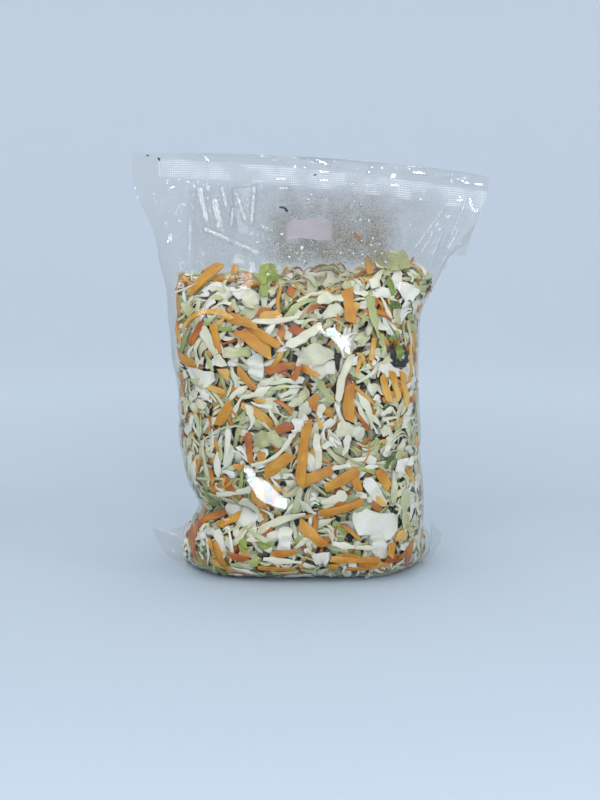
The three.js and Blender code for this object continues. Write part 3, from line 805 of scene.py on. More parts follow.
# ---- laying one cut -----------------------------------------------------------------------
def walk(tree, inset, where, heading, steps, step, turn, sway):
    """Places and outward normals along a walk over a surface, ended early where it turns sharply."""
    places, ups = [], []
    along = Vector(heading)
    for i in range(steps + 1):
        spot, up = tree.find_nearest(where)[:2]
        if ups and up.dot(ups[-1]) < SHARP_TURN:
            break
        spot = spot - up * inset
        places.append(spot)
        ups.append(up)
        along = (along - up * along.dot(up)).normalized()
        bend = turn + sway * math.sin(SWAY_RATE * i)
        along = along * math.cos(bend) + up.cross(along) * math.sin(bend)
        where = spot + along * step
    return places, ups


def both_ways(tree, inset, where, heading, steps, step, turn, sway=0.0):
    """A walk that starts in the middle of a cut and runs to both of its ends."""
    ahead = walk(tree, inset, where, heading, steps - steps // 2, step, turn, sway)
    behind = walk(tree, inset, where, -Vector(heading), steps // 2, step, -turn, sway)
    places = behind[0][:0:-1] + ahead[0]
    ups = behind[1][:0:-1] + ahead[1]
    return np.array(places), np.array(ups)


def draped(floor):
    """A line over the highest places below a cut, as far as a limp shred spans from one to the next."""
    for _ in range(2):
        padded = np.pad(floor, 1, mode="edge")
        floor = np.maximum(floor, (padded[:-2] + padded[2:]) / 2.0 - SAG)
    padded = np.pad(floor, 1, mode="edge")
    return np.maximum(floor - SAG, (padded[:-2] + 2.0 * floor + padded[2:]) / 4.0)


# A cut's section in halves of its width and thickness, as points all the way round.
SECTIONS = {
    "narrow": np.array([(-1, 0), (-0.6, 1), (0.6, 1), (1, 0), (0.6, -1), (-0.6, -1)]),
    "wide": np.array([(-1, 0), (-0.75, 0.9), (-0.25, 1), (0.25, 1), (0.75, 0.9),
                      (1, 0), (0.75, -0.9), (0.25, -1), (-0.25, -1), (-0.75, -0.9)]),
    "crisp": np.array([(-1, -0.7), (-1, 0.7), (-0.84, 1), (0.84, 1),
                       (1, 0.7), (1, -0.7), (0.84, -1), (-0.84, -1)]),
}


def unit(vectors):
    return vectors / (np.linalg.norm(vectors, axis=1)[:, None] + 1e-9)


def half_widths(kind, size, share, rng):
    """How far a cut reaches to the left and right of its middle line. Leaves have torn, uneven sides."""
    halves = []
    taper = TAPER[kind in WIDE or kind in CRISP]
    for _ in range(2 if kind in WIDE else 1):
        if kind in WIDE:
            knots = np.linspace(0.0, 1.0, rng.randint(5, 9))
            reach = [1.0 - size["ragged"] * rng.uniform(-0.5, 2.0) for _ in knots]
            half = np.interp(share, knots, reach)
        else:
            half = np.ones(len(share))
            for wave in range(1, 5):
                turn = rng.uniform(0, FULL_TURN)
                half = half * (1 + size["ragged"] / wave * np.sin(math.pi * share * wave * 1.7 + turn))
        for ends in (share, 1.0 - share):
            tip = rng.uniform(*size["tip"])
            half = half * (tip + (1 - tip) * smooth_ramp(0, rng.uniform(*taper), ends))
        halves.append(half * size["width"] / 2.0)
    return halves[0], halves[-1]


def cut_rings(kind, size, places, ups, skin, rng, pressed, height=0.0):
    """The rings of points of one cut, laid below what is already there or lifted off the heap, how
    deep each ring lies, and how far its points reach to each side."""
    count = len(places)
    share = np.linspace(0.0, 1.0, count)
    centred = share * 2.0 - 1.0
    left, right = half_widths(kind, size, share, rng)
    width = np.maximum(left, right)
    thick = size["thick"] / 2.0 * (1 - TIP_THINNING * np.abs(centred) ** 3)
    calm = PRESSED_CALM if pressed else 1.0
    roll = math.radians(rng.gauss(0, size["roll"]) * calm)
    roll = roll + math.radians(rng.gauss(0, size["twist"]) * calm) * centred / 2
    tall = np.abs(width * np.sin(roll)) + np.abs(thick * np.cos(roll))
    felt = size["width"] * FELT_SHARE + FELT_MORE
    under = [[i for _, i, _ in skin.near.find_range(place, felt)] for place in places]
    depths = [skin.taken[found] for found in under]
    floor = np.array([(taken.mean() + taken.max()) / 2.0 if len(taken) else 0.0 for taken in depths])
    depth = draped(floor)
    arch = size["arch"] * abs(rng.gauss(0, 0.5)) * calm
    depth = depth + arch * (centred ** 2 if rng.random() < 0.5 else 0.6 * (1 - centred ** 2))
    depth = depth + np.maximum(0, rng.gauss(0, size["plunge"]) * centred * size["length"] / 2) * calm
    depth = depth + OWN_SHARE * tall + OWN_MORE
    if height:
        depth = -height * (1.0 - 0.8 * centred ** 2)
    line = places - ups * depth[:, None]
    ahead = unit(np.gradient(line, axis=0))
    side = unit(np.cross(ahead, ups))
    up = np.cross(side, ahead)
    across = side * np.cos(roll)[:, None] + up * np.sin(roll)[:, None]
    through = up * np.cos(roll)[:, None] - side * np.sin(roll)[:, None]
    section = SECTIONS["crisp" if kind in CRISP else "wide" if kind in WIDE else "narrow"]
    a, b = section[:, 0], section[:, 1]
    reach = np.where(a[None, :] < 0, left[:, None], right[:, None]) * a
    leafy = 1.0 if kind in WIDE else SOFT_SHARE
    cup = rng.uniform(*CUP) * leafy
    frill = FRILL * leafy * size["width"] * np.sin(share * rng.uniform(4, 9) + rng.uniform(0, FULL_TURN))
    slant = rng.uniform(-SLANT, SLANT) * centred * np.abs(centred) * (CRISP_SLANT if kind in CRISP else leafy)
    lift = b * thick[:, None] + cup * a ** 2 * width[:, None] + frill[:, None] * a * leafy
    for _ in range(WRINKLES if kind in WIDE and kind != "clinging_piece" else 0):
        phase = rng.uniform(6, 20) * share[:, None] + rng.uniform(-3, 3) * a + rng.uniform(0, FULL_TURN)
        lift = lift + WRINKLE * min(size["width"], WRINKLED_WIDTH) * np.sin(phase)
    rings = line[:, None, :] + across[:, None, :] * reach[:, :, None]
    rings = rings + through[:, None, :] * lift[:, :, None]
    rings = rings + ahead[:, None, :] * (slant[:, None] * reach)[:, :, None]
    rings[..., 2] = np.maximum(rings[..., 2], FLOOR_GAP)
    for found, low in zip(under, depth + tall * TAKEN_SHARE):
        skin.taken[found] = np.maximum(skin.taken[found], low)
    return rings, depth, reach


class Cuts:
    """All the cuts of one kind, gathered as one mesh."""

    def __init__(self, name):
        self.name = name
        self.points, self.faces, self.shades, self.fibres, self.count = [], [], [], [], 0

    def add(self, laid, length, tone, lot):
        rings, depth, reach = laid
        long, around = rings.shape[:2]
        along = np.linspace(0, 1, long)[:, None] * np.ones(around)
        # How much painted shade darkens the cut, by how deep it lies in the bag.
        painted_shade = np.clip(depth / PAINTED_SHADE_DEPTH, 0, 1)[:, None] * np.ones(around)
        even = np.ones((long, around))
        self.points.append(rings.reshape(-1, 3))
        self.shades.append(np.stack([even * tone, even * lot, painted_shade, along], -1).reshape(-1, 4))
        fibre = [along * length * FIBRE_RUN, reach * FIBRE_SPREAD, even * lot * FIBRE_LOTS]
        self.fibres.append(np.stack(fibre, -1).reshape(-1, 3))
        ids = np.arange(long * around).reshape(long, around) + self.count
        after = np.roll(ids, -1, axis=1)
        quads = np.stack([ids[:-1], after[:-1], after[1:], ids[1:]], -1).reshape(-1, 4)
        self.faces.extend(quads.tolist())
        self.faces.append(ids[0, ::-1].tolist())
        self.faces.append(ids[-1].tolist())
        self.count += long * around

    def finished(self):
        obj = mesh_object(self.name, np.concatenate(self.points), self.faces, crisp=CUT_CRISP)
        add_layer(obj, "shade", "FLOAT_COLOR", np.concatenate(self.shades))
        add_layer(obj, "fibre", "FLOAT_VECTOR", np.concatenate(self.fibres))
        return obj


def stations(kind, length):
    """How many steps a cut of this length is made of, and how long each is."""
    step = WALK_STEP * (WIDE_STEP if kind in WIDE else 1.0)
    steps = max(4, int(round(length / max(step, length / LONGEST_WALK))))
    return steps, length / steps


def lay_front_pieces(gathered, skin, film_tree, rng):
    for kind, rows in FRONT_PIECES.items():
        cut = CUTS.get(kind, CUTS["leaf_pieces"])
        for x, z, angle, length, width, bend, tone in rows:
            size = dict(cut, length=length, width=width, thick=sum(cut["thick"]) / 2.0)
            if kind in WIDE:
                size["ragged"] = min(0.2, size["ragged"])
            start = film_tree.ray_cast((x, -RAY_START, z), (0.0, 1.0, 0.0))[0]
            steps, step = stations(kind, length)
            heading = (math.cos(math.radians(angle)), 0.0, math.sin(math.radians(angle)))
            turn = math.radians(bend) / steps
            inset = FILM_GAP if z < CLINGING_FROM else CLINGING_GAP
            if z > top_edge(x) - STUCK_ON:
                inset = -PLY_HALF_GAP
            places, ups = both_ways(film_tree, inset, start, heading, steps, step, turn)
            laid = cut_rings(kind, size, places, ups, skin, rng, True)
            gathered[kind].add(laid, length, tone, rng.random())


def lay_the_rest(gathered, skin, rng):
    order = [kind for kind, cut in CUTS.items() for _ in range(cut["count"])]
    rng.shuffle(order)
    left = {kind: cut["count"] for kind, cut in CUTS.items()}
    for kind in order:
        cut = CUTS[kind]
        together = min(rng.choice(TOGETHER.get(kind, (1,))), left[kind])
        if not together:
            continue
        low, high = cut["length"]
        length = low + (high - low) * rng.random() ** SHORT_BIAS
        spots = [rng.randrange(len(skin.points)) for _ in range(TRIES)]
        spot = min(spots, key=lambda i: skin.taken[i])
        heading = Vector((rng.gauss(0, 1), rng.gauss(0, 1), rng.gauss(0, 0.9)))
        turn = math.radians(rng.gauss(0, cut["bend"]))
        if skin.taken[spot] > FULL_DEPTH:
            continue
        left[kind] -= together
        where = Vector(skin.points[spot])
        aside = Vector(skin.normals[spot]).cross(heading).normalized()
        sway = math.radians(rng.gauss(0, cut["bend"] * SWAY_SHARE))
        pressed = skin.taken[spot] < PRESSED_DEPTH
        tone, lot = rng.random(), rng.random()
        for _ in range(together):
            size = dict(cut, length=length * rng.uniform(*KEPT_LENGTH), width=rng.uniform(*cut["width"]),
                        thick=rng.uniform(*cut["thick"]))
            steps, step = stations(kind, size["length"])
            places, ups = both_ways(skin.tree, 0.0, where, heading, steps, step, turn / steps, sway)
            if len(places) >= 4:
                laid = cut_rings(kind, size, places, ups, skin, rng, pressed)
                gathered[kind].add(laid, size["length"], tone, lot)
            where = where + aside * size["width"] * rng.uniform(*APART)
            heading = heading.normalized() + aside * rng.gauss(0, FANNED)
            tone = min(1.0, max(0.0, tone + rng.gauss(0, TONE_SHIFT)))


def lay_loose_cuts(gathered, skin, rng):
    """Cuts that lie loose on the heap and arch up into the open part of the bag."""
    points = skin.points
    within = np.all(np.abs(points[:, :2]) < LOOSE_REACH, axis=1)
    on_top = np.flatnonzero((skin.normals[:, 2] > 0.8) & (points[:, 2] > 120.0) & within)
    for kind, count in LOOSE_CUTS.items():
        cut = CUTS[kind]
        for _ in range(count):
            length, width = rng.uniform(*LOOSE_LENGTH), rng.uniform(*cut["width"]) * LOOSE_WIDTH
            size = dict(cut, length=length, width=width, thick=rng.uniform(*cut["thick"]))
            steps, step = stations(kind, size["length"])
            heading = Vector((rng.gauss(0, 1), rng.gauss(0, 0.6), 0.0))
            turn = math.radians(rng.gauss(0, cut["bend"])) / steps
            where = Vector(points[rng.choice(on_top)])
            places, ups = both_ways(skin.tree, 0.0, where, heading, steps, step, turn)
            if len(places) >= 4:
                laid = cut_rings(kind, size, places, ups, skin, rng, False, rng.uniform(*LOOSE_HEIGHT))
                gathered[kind].add(laid, size["length"], rng.random(), rng.random())


# ---- materials ----------------------------------------------------------------------------
# Streaks along a cut's fibres are 0.4 mm apart and 5 mm long. Real fibres are a quarter of that, too
# fine to show, so they are drawn this coarse. Patches of tone are 8 mm across, 130 to a metre.
STREAK_SCALE, PATCH_SCALE = 1.6, 130.0
PAINTED_SHADE_POWER, PAINTED_SHADE_SHARE = 1.3, 0.95  # how the painted shade deepens the tone with the depth in the bag
STREAK_BUMP, JUICE_DEPTH = 0.5 * MM, 1.2 * MM  # the streaks' height, and how deep light goes in
# Patterns on the film, by how many there are to a millimetre: patches 13 mm across where the seal's
# dots show painted highlight, clouds of mist 9 mm across, and the mist's own grain, 0.9 and 0.6 mm across.
# Real mist is finer, too fine to show.
DOT_PATCH_SCALE, CLOUD_SCALE, GRAIN_SCALE, DAMP_SCALE = 0.075, 0.11, 1.1, 1.7
# What thin film mirrors face on, how much more it mirrors at a slant, and how suddenly.
GLOSS, SLANT_GLOSS, SLANT_POWER = 0.024, 0.6, 3.0
CLEAR_BLUR, MISTED_BLUR = 0.04, 0.5  # the roughness of its reflections when clear, and more in mist
CLEAR_VEIL, MISTED_VEIL = 0.012, 0.8  # how much clear and misted film hide
SEAL_PAINTED_HIGHLIGHT, DOT_PAINTED_HIGHLIGHT = 0.01, 0.66  # how much painted highlight, in white, the seal shows between and on its dots
BEAD_SCALE = 700.0  # lots of beads with one tone of painted reflection, 1.4 mm across
BEAD_GLINT = 0.3


def linear(text):
    """A colour written as an sRGB hex value, as linear red, green, blue and alpha."""
    parts = [int(text[i:i + 2], 16) / 255.0 for i in (0, 2, 4)]
    return tuple(c / 12.92 if c <= 0.04045 else ((c + 0.055) / 1.055) ** 2.4 for c in parts) + (1.0,)


def add_node(tree, kind, settings=None, inputs=None, stops=None):
    """Adds a node with its properties, its input values or links, and a colour ramp's stops."""
    node = tree.nodes.new(kind)
    for name, value in (settings or {}).items():
        setattr(node, name, value)
    for name, value in (inputs or {}).items():
        if isinstance(value, bpy.types.NodeSocket):
            tree.links.new(node.inputs[name], value)
        else:
            node.inputs[name].default_value = value
    if stops:
        ramp = node.color_ramp.elements
        while len(ramp) < len(stops):
            ramp.new(1.0)
        for element, (position, colour) in zip(ramp, stops):
            element.position, element.color = position, linear(colour)
    return node


def new_material(name):
    material = bpy.data.materials.new(name)
    material.use_nodes = True
    material.node_tree.nodes.clear()
    return material, material.node_tree


def cut_material(name, stops, painted_shade, roughness, glow, mottle=0.5):
    """Raw cut vegetable: moist, a little see-through, streaked along its fibres, and darker where
    it lies deep in the bag, which is painted shade."""
    material, tree = new_material(name)
    shade = add_node(tree, "ShaderNodeAttribute", {"attribute_name": "shade"})
    parts = add_node(tree, "ShaderNodeSeparateColor", inputs={"Color": shade.outputs["Color"]}).outputs
    tone, lot, depth, along = parts[0], parts[1], parts[2], shade.outputs["Alpha"]
    lean = add_node(tree, "ShaderNodeMath", {"operation": "SUBTRACT"}, {0: lot, 1: 0.5}).outputs[0]
    run = add_node(tree, "ShaderNodeMath", {"operation": "SUBTRACT"}, {0: along, 1: 0.5}).outputs[0]
    fade = add_node(tree, "ShaderNodeMath", {"operation": "MULTIPLY_ADD"},
                    {0: lean, 1: run, 2: tone}).outputs[0]
    fibre = add_node(tree, "ShaderNodeAttribute", {"attribute_name": "fibre"}).outputs["Vector"]
    streaks = add_node(tree, "ShaderNodeTexNoise", inputs={
        "Vector": fibre, "Scale": STREAK_SCALE, "Detail": 4.0}).outputs[0]
    place = add_node(tree, "ShaderNodeTexCoord").outputs["Object"]
    patches = add_node(tree, "ShaderNodeTexNoise", inputs={
        "Vector": place, "Scale": PATCH_SCALE, "Detail": 2.0}).outputs[0]
    both = add_node(tree, "ShaderNodeMath", {"operation": "ADD"}, {0: streaks, 1: patches}).outputs[0]
    uneven = add_node(tree, "ShaderNodeMath", {"operation": "MULTIPLY_ADD"}, {0: both, 1: mottle, 2: -mottle})
    total = add_node(tree, "ShaderNodeMath", {"operation": "ADD"}, {0: uneven.outputs[0], 1: fade}).outputs[0]
    ramp = add_node(tree, "ShaderNodeValToRGB", inputs={"Fac": total}, stops=stops).outputs[0]
    # Painted shade: the deeper the cut lies, the more its tone sinks to the painted shade colour.
    sunk = add_node(tree, "ShaderNodeMath", {"operation": "POWER"}, {0: depth, 1: PAINTED_SHADE_POWER}).outputs[0]
    share = add_node(tree, "ShaderNodeMath", {"operation": "MULTIPLY"}, {0: sunk, 1: PAINTED_SHADE_SHARE}).outputs[0]
    colour = add_node(tree, "ShaderNodeMix", {"data_type": "RGBA"},
                      {0: share, 6: ramp, 7: linear(painted_shade)}).outputs[2]
    bump = add_node(tree, "ShaderNodeBump", inputs={
        "Height": streaks, "Strength": 0.5, "Distance": STREAK_BUMP})
    surface = add_node(tree, "ShaderNodeBsdfPrincipled", inputs={
        "Base Color": colour, "Normal": bump.outputs[0], "Roughness": roughness,
        "Subsurface Weight": 0.25, "Subsurface Radius": glow, "Subsurface Scale": JUICE_DEPTH})
    add_node(tree, "ShaderNodeOutputMaterial", inputs={"Surface": surface.outputs[0]})
    return material


def film_material():
    """Thin clear polypropylene film, cast and heat-sealed: see-through, with sharp reflections on
    its creases, a fine grid of sealing dots drawn white in patches as painted highlight, and a milky veil
    where it is misted inside."""
    material, tree = new_material("clear_film_heat_sealed")
    marks = add_node(tree, "ShaderNodeAttribute", {"attribute_name": "marks"}).outputs["Color"]
    parts = add_node(tree, "ShaderNodeSeparateColor", inputs={"Color": marks}).outputs
    mist, seal = parts[0], parts[1]
    sheet = add_node(tree, "ShaderNodeAttribute", {"attribute_name": "sheet"}).outputs["Vector"]
    cell = add_node(tree, "ShaderNodeTexVoronoi", {"voronoi_dimensions": "2D"}, {
        "Vector": sheet, "Scale": 1.0 / SEAL_DOT_PITCH, "Randomness": 0.0}).outputs["Distance"]
    dots = add_node(tree, "ShaderNodeMapRange", inputs={0: cell, 1: 0.42, 2: 0.2, 3: 0.0, 4: 1.0}).outputs[0]
    dot_patches = add_node(tree, "ShaderNodeTexNoise", inputs={
        "Vector": sheet, "Scale": DOT_PATCH_SCALE, "Detail": 2.0}).outputs[0]
    lit = add_node(tree, "ShaderNodeMapRange", inputs={0: dot_patches, 1: 0.42, 2: 0.6, 3: 0.1, 4: 1.0}).outputs[0]
    dotted = add_node(tree, "ShaderNodeMath", {"operation": "MULTIPLY"}, {0: dots, 1: lit}).outputs[0]
    white = add_node(tree, "ShaderNodeMath", {"operation": "MULTIPLY_ADD"},
                     {0: dotted, 1: DOT_PAINTED_HIGHLIGHT, 2: SEAL_PAINTED_HIGHLIGHT}).outputs[0]
    sealed = add_node(tree, "ShaderNodeMath", {"operation": "MULTIPLY"}, {0: white, 1: seal}).outputs[0]
    grains = add_node(tree, "ShaderNodeTexNoise", inputs={
        "Vector": sheet, "Scale": GRAIN_SCALE, "Detail": 3.0}).outputs[0]
    clouds = add_node(tree, "ShaderNodeTexNoise", inputs={
        "Vector": sheet, "Scale": CLOUD_SCALE, "Detail": 2.0}).outputs[0]
    grain, cloud = (add_node(tree, "ShaderNodeMapRange", inputs={
        0: noise, 1: least, 2: most, 3: 0.5, 4: 1.0}).outputs[0]
        for noise, least, most in ((grains, 0.4, 0.6), (clouds, 0.3, 0.65)))
    fog = add_node(tree, "ShaderNodeMath", {"operation": "MULTIPLY"}, {0: grain, 1: cloud}).outputs[0]
    fogged = add_node(tree, "ShaderNodeMath", {"operation": "MULTIPLY"}, {0: fog, 1: mist}).outputs[0]
    veil = add_node(tree, "ShaderNodeMath", {"operation": "MULTIPLY_ADD"},
                    {0: fogged, 1: MISTED_VEIL, 2: CLEAR_VEIL}).outputs[0]
    blur = add_node(tree, "ShaderNodeMath", {"operation": "MULTIPLY_ADD"},
                    {0: fogged, 1: MISTED_BLUR, 2: CLEAR_BLUR}).outputs[0]
    facing = add_node(tree, "ShaderNodeLayerWeight", inputs={"Blend": 0.5}).outputs["Facing"]
    steep = add_node(tree, "ShaderNodeMath", {"operation": "POWER"}, {0: facing, 1: SLANT_POWER}).outputs[0]
    gloss = add_node(tree, "ShaderNodeMath", {"operation": "MULTIPLY_ADD", "use_clamp": True},
                     {0: steep, 1: SLANT_GLOSS, 2: GLOSS}).outputs[0]
    clear = add_node(tree, "ShaderNodeBsdfTransparent", inputs={"Color": linear("FBFAF9")})
    shine = add_node(tree, "ShaderNodeBsdfGlossy", inputs={"Roughness": blur})
    fine = add_node(tree, "ShaderNodeTexNoise", inputs={
        "Vector": sheet, "Scale": DAMP_SCALE, "Detail": 2.0}).outputs[0]
    grey = add_node(tree, "ShaderNodeValToRGB", inputs={"Fac": fine},
                    stops=[(0.4, "625D50"), (0.5, "868072"), (0.6, "A6A298")]).outputs[0]
    damp = add_node(tree, "ShaderNodeBsdfDiffuse", inputs={"Color": grey})
    # The seal's dots are painted white: a painted highlight of the embossed dots, in patches.
    dot = add_node(tree, "ShaderNodeBsdfDiffuse", inputs={"Color": linear("FAFCFF")})
    film = add_node(tree, "ShaderNodeMixShader", inputs={0: gloss, 1: clear.outputs[0], 2: shine.outputs[0]})
    misty = add_node(tree, "ShaderNodeMixShader", inputs={0: veil, 1: film.outputs[0], 2: damp.outputs[0]})
    with_dot_highlights = add_node(tree, "ShaderNodeMixShader", inputs={0: sealed, 1: misty.outputs[0], 2: dot.outputs[0]})
    add_node(tree, "ShaderNodeOutputMaterial", inputs={"Surface": with_dot_highlights.outputs[0]})
    return material


def bead_material():
    """Droplets of condensed water: clear, glinting, and pale where the room shows in them, a painted
    reflection from grey to white.
    """
    material, tree = new_material("condensed_water")
    place = add_node(tree, "ShaderNodeTexCoord").outputs["Object"]
    lots = add_node(tree, "ShaderNodeTexNoise", inputs={"Vector": place, "Scale": BEAD_SCALE}).outputs[0]
    painted_reflection_share = add_node(tree, "ShaderNodeMapRange",
                    inputs={0: lots, 1: 0.35, 2: 0.65, 3: 0.15, 4: 0.8}).outputs[0]
    # A painted reflection of the room: a diffuse tone from grey to white, one tone to each lot of beads.
    tone = add_node(tree, "ShaderNodeValToRGB", inputs={"Fac": lots},
                    stops=[(0.4, "6E6A5E"), (0.5, "D0D0CC"), (0.55, "FFFFFF")]).outputs[0]
    clear = add_node(tree, "ShaderNodeBsdfTransparent", inputs={"Color": linear("FAFBFC")})
    shine = add_node(tree, "ShaderNodeBsdfGlossy", inputs={"Roughness": 0.1})
    room = add_node(tree, "ShaderNodeBsdfDiffuse", inputs={"Color": tone})
    water = add_node(tree, "ShaderNodeMixShader", inputs={
        0: BEAD_GLINT, 1: clear.outputs[0], 2: shine.outputs[0]})
    mixed = add_node(tree, "ShaderNodeMixShader", inputs={0: painted_reflection_share, 1: water.outputs[0], 2: room.outputs[0]})
    add_node(tree, "ShaderNodeOutputMaterial", inputs={"Surface": mixed.outputs[0]})
    return material


WHITE_TONES = [(0.0, "CAC296"), (0.3, "E5E1BF"), (0.65, "F0EDD8"), (1.0, "F6F3E6")]
FINE_TONES = [(0.0, "B5B57B"), (0.3, "DEDAB7"), (0.6, "EEEBD6"), (1.0, "F5F2E5")]
PALE_TONES = [(0.0, "96A05A"), (0.35, "BAC088"), (0.7, "D5DAB2"), (1.0, "E9EBD6")]
LEAF_TONES = [(0.0, "B5B87E"), (0.3, "DEDBB6"), (0.65, "EFECD6"), (1.0, "F6F4E5")]
GREEN_TONES = [(0.0, "4A6414"), (0.4, "7A9230"), (0.75, "A4B258"), (1.0, "C6CA88")]
CARROT_TONES = [(0.0, "B25209"), (0.3, "C87F0D"), (0.65, "DA9C22"), (1.0, "ECBE68")]
DARK_TONES = [(0.0, "080C0E"), (0.5, "141E1E"), (1.0, "4A6450")]
CLINGING_TONES = [(0.0, "A49EA6"), (0.5, "B2ADB4"), (1.0, "C6C1C8")]
# The core's tones are painted shade, seen in the gaps between the cuts.
SHADE_TONES = [(0.0, "1A120E"), (0.5, "42381F"), (1.0, "74693E")]
CABBAGE_GLOW, LEAF_GLOW, CARROT_GLOW = (1.0, 0.95, 0.6), (0.8, 1.0, 0.4), (1.0, 0.55, 0.15)
# The colours of painted shade that each kind sinks to where it lies deep in the bag.
CABBAGE_PAINTED_SHADE, LEAF_PAINTED_SHADE, CARROT_PAINTED_SHADE = "453A1E", "30320E", "561E06"
# Each kind's material: its name, tones, the painted shade colour that it sinks to deep in the bag, roughness,
# the colour that glows through it, and how mottled it is where that isn't the usual half.
FINISHES = {
    # White inner leaves, shredded: ivory to white, greener at the leaf's outside, with a moist sheen.
    "white_shreds": ("white_cabbage_shredded", WHITE_TONES, CABBAGE_PAINTED_SHADE, 0.36, CABBAGE_GLOW),
    # The same leaves sliced finer: straw to ivory, because thin shreds dry and yellow first.
    "fine_shreds": ("cabbage_finely_shredded", FINE_TONES, CABBAGE_PAINTED_SHADE, 0.36, CABBAGE_GLOW),
    # Outer leaves, shredded: each shred runs from leaf green to nearly white along its length.
    "pale_shreds": ("pale_green_cabbage_shredded", PALE_TONES, LEAF_PAINTED_SHADE, 0.36, LEAF_GLOW),
    # Thick ribs, cut across: juicy, so their faces shine a little more than the shreds.
    "cabbage_ribs": ("cabbage_rib_cut", WHITE_TONES, CABBAGE_PAINTED_SHADE, 0.34, CABBAGE_GLOW),
    # Flat pieces of leaf with their own wax on: a broad, soft sheen instead of a wet one.
    "leaf_pieces": ("cabbage_leaf_waxy", LEAF_TONES, CABBAGE_PAINTED_SHADE, 0.46, CABBAGE_GLOW),
    # Bits of the outermost leaf: fresh deep green that yellows at the cut, lit through.
    "green_bits": ("green_leaf_waxy", GREEN_TONES, LEAF_PAINTED_SHADE, 0.38, LEAF_GLOW),
    # Carrot, planed into strips: orange to amber, strongly streaked along, and moist.
    "carrot_strips": ("carrot_planed_moist", CARROT_TONES, CARROT_PAINTED_SHADE, 0.36, CARROT_GLOW, 0.9),
    # Carrot, shaved thin: the same orange, a little duller, because shavings dry first.
    "slivers": ("carrot_shaved_moist", CARROT_TONES, CARROT_PAINTED_SHADE, 0.38, CARROT_GLOW, 0.9),
    # A dark leaf with a smooth skin, and the dark flecks: nearly black, blue-green and glossy.
    "dark_leaf": ("dark_leaf_glossy", DARK_TONES, "0C1014", 0.3, LEAF_GLOW),
    # A flat piece from the heart that sticks to the wet film: smooth, an even pinkish grey-white.
    "clinging_piece": ("pink_white_heart_piece", CLINGING_TONES, "A49EA6", 0.4, CABBAGE_GLOW),
    # The heap's inside, seen in the gaps: dull, with large mottles, and dark brown-green as painted shade.
    "slaw_core": ("packed_slaw_shade", SHADE_TONES, "1A120E", 0.6, CABBAGE_GLOW, 1.6),
}
SLOTS = {"green_bits": "leaf", "dark_leaf": "leaf", "carrot_strips": "carrot", "slivers": "carrot"}


def place_on_bag(obj, material, slot):
    obj.data.materials.clear()
    obj.data.materials.append(material)
    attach(obj, "root")
    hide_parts("coleslaw_bag")
    return obj


# ---- the film and its mist ----------------------------------------------------------------
def grid_faces(rows, around):
    ids = np.arange(rows * around).reshape(rows, around)
    after = np.roll(ids, -1, axis=1)
    return np.stack([ids[:-1], after[:-1], after[1:], ids[1:]], -1).reshape(-1, 4).tolist()


def tree_of(points, faces):
    return BVHTree.FromPolygons(np.asarray(points).tolist(), faces)


def film_marks(points, is_base):
    """How misted and how sealed the film is at each point, and where the point lies on the sheet."""
    x, y, z = points.T
    thin, thick, *wiped = (np.interp(x, box["x"], (0, 1, 1, 0)) * np.interp(z, box["z"], (0, 1, 1, 0))
                           for box in (THIN_MIST, THICK_MIST, *WIPED))
    mist = np.maximum(THIN_MIST_SHARE * thin, thick)
    mist = mist * np.where(y < 0.0, 1.0 - WIPED_SHARE * sum(wiped), 1.0)
    below = top_edge(x) - z
    upper, lower = seal_lines(x)
    sealed = smooth_ramp(upper - SEAL_SOFT, upper + SEAL_SOFT, below)
    sealed = sealed * smooth_ramp(lower + SEAL_SOFT, lower - SEAL_SOFT, below)
    sealed = sealed * smooth_ramp(SEAL_DOTS_FROM - SEAL_END_SOFT, SEAL_DOTS_FROM + SEAL_END_SOFT, x)
    rim = BASE_SEAL_HALF_WIDTH + SEAL_END_SOFT, BASE_SEAL_HALF_WIDTH - SEAL_END_SOFT
    in_base = smooth_ramp(*rim, np.abs(y))
    sealed = np.where(is_base, in_base, sealed)
    marks = np.stack([mist, sealed, np.zeros(len(x)), np.ones(len(x))], 1)
    return marks, np.stack([x, np.where(is_base, y, below), y * SHEET_SHIFT], 1)


def film_piece(grid):
    """The sheet with its upper edge closed, its base with the lower seal, and its corners."""
    rows, around = grid.shape[:2]
    points, faces = list(grid.reshape(-1, 3)), grid_faces(rows, around)
    top = (rows - 1) * around
    for j in range(COLUMNS):
        back, ahead = (around - j) % around, around - j - 1
        faces.append(list(dict.fromkeys((top + j, top + j + 1, top + ahead, top + back))))
    chains = []
    flank = BASE_SEAL_HALF_WIDTH + BASE_SEAL_FLANK, BASE_SEAL_HALF_WIDTH
    for j in range(1, COLUMNS):
        front, back = grid[0, j], grid[0, around - j]
        ids = [j]
        for m in range(1, BASE_CELLS):
            point = front + (back - front) * m / BASE_CELLS
            point[2] = FIRST_ROW - BASE_SEAL_DROP * smooth_ramp(*flank, abs(point[1]))
            ids.append(len(points))
            points.append(point)
        ids.append(around - j)
        chains.append(ids)
    for one, two in zip(chains[:-1], chains[1:]):
        faces += [[one[m], one[m + 1], two[m + 1], two[m]] for m in range(BASE_CELLS)]
    faces += [[0, chains[0][m + 1], chains[0][m]] for m in range(BASE_CELLS)]
    faces += [[COLUMNS, chains[-1][m], chains[-1][m + 1]] for m in range(BASE_CELLS)]
    is_base = np.arange(len(points)) >= rows * around
    for corner in CORNERS:
        more, cells = film_corner(**corner)
        faces += [[i + len(points) for i in cell] for cell in cells]
        points += more
    points = np.array(points)
    is_base = np.concatenate([is_base, np.zeros(len(points) - len(is_base), bool)])
    film = mesh_object("film", points, faces, crisp=FILM_CRISP)
    marks, sheet = film_marks(points, is_base)
    add_layer(film, "marks", "FLOAT_COLOR", marks)
    add_layer(film, "sheet", "FLOAT_VECTOR", sheet)
    return film


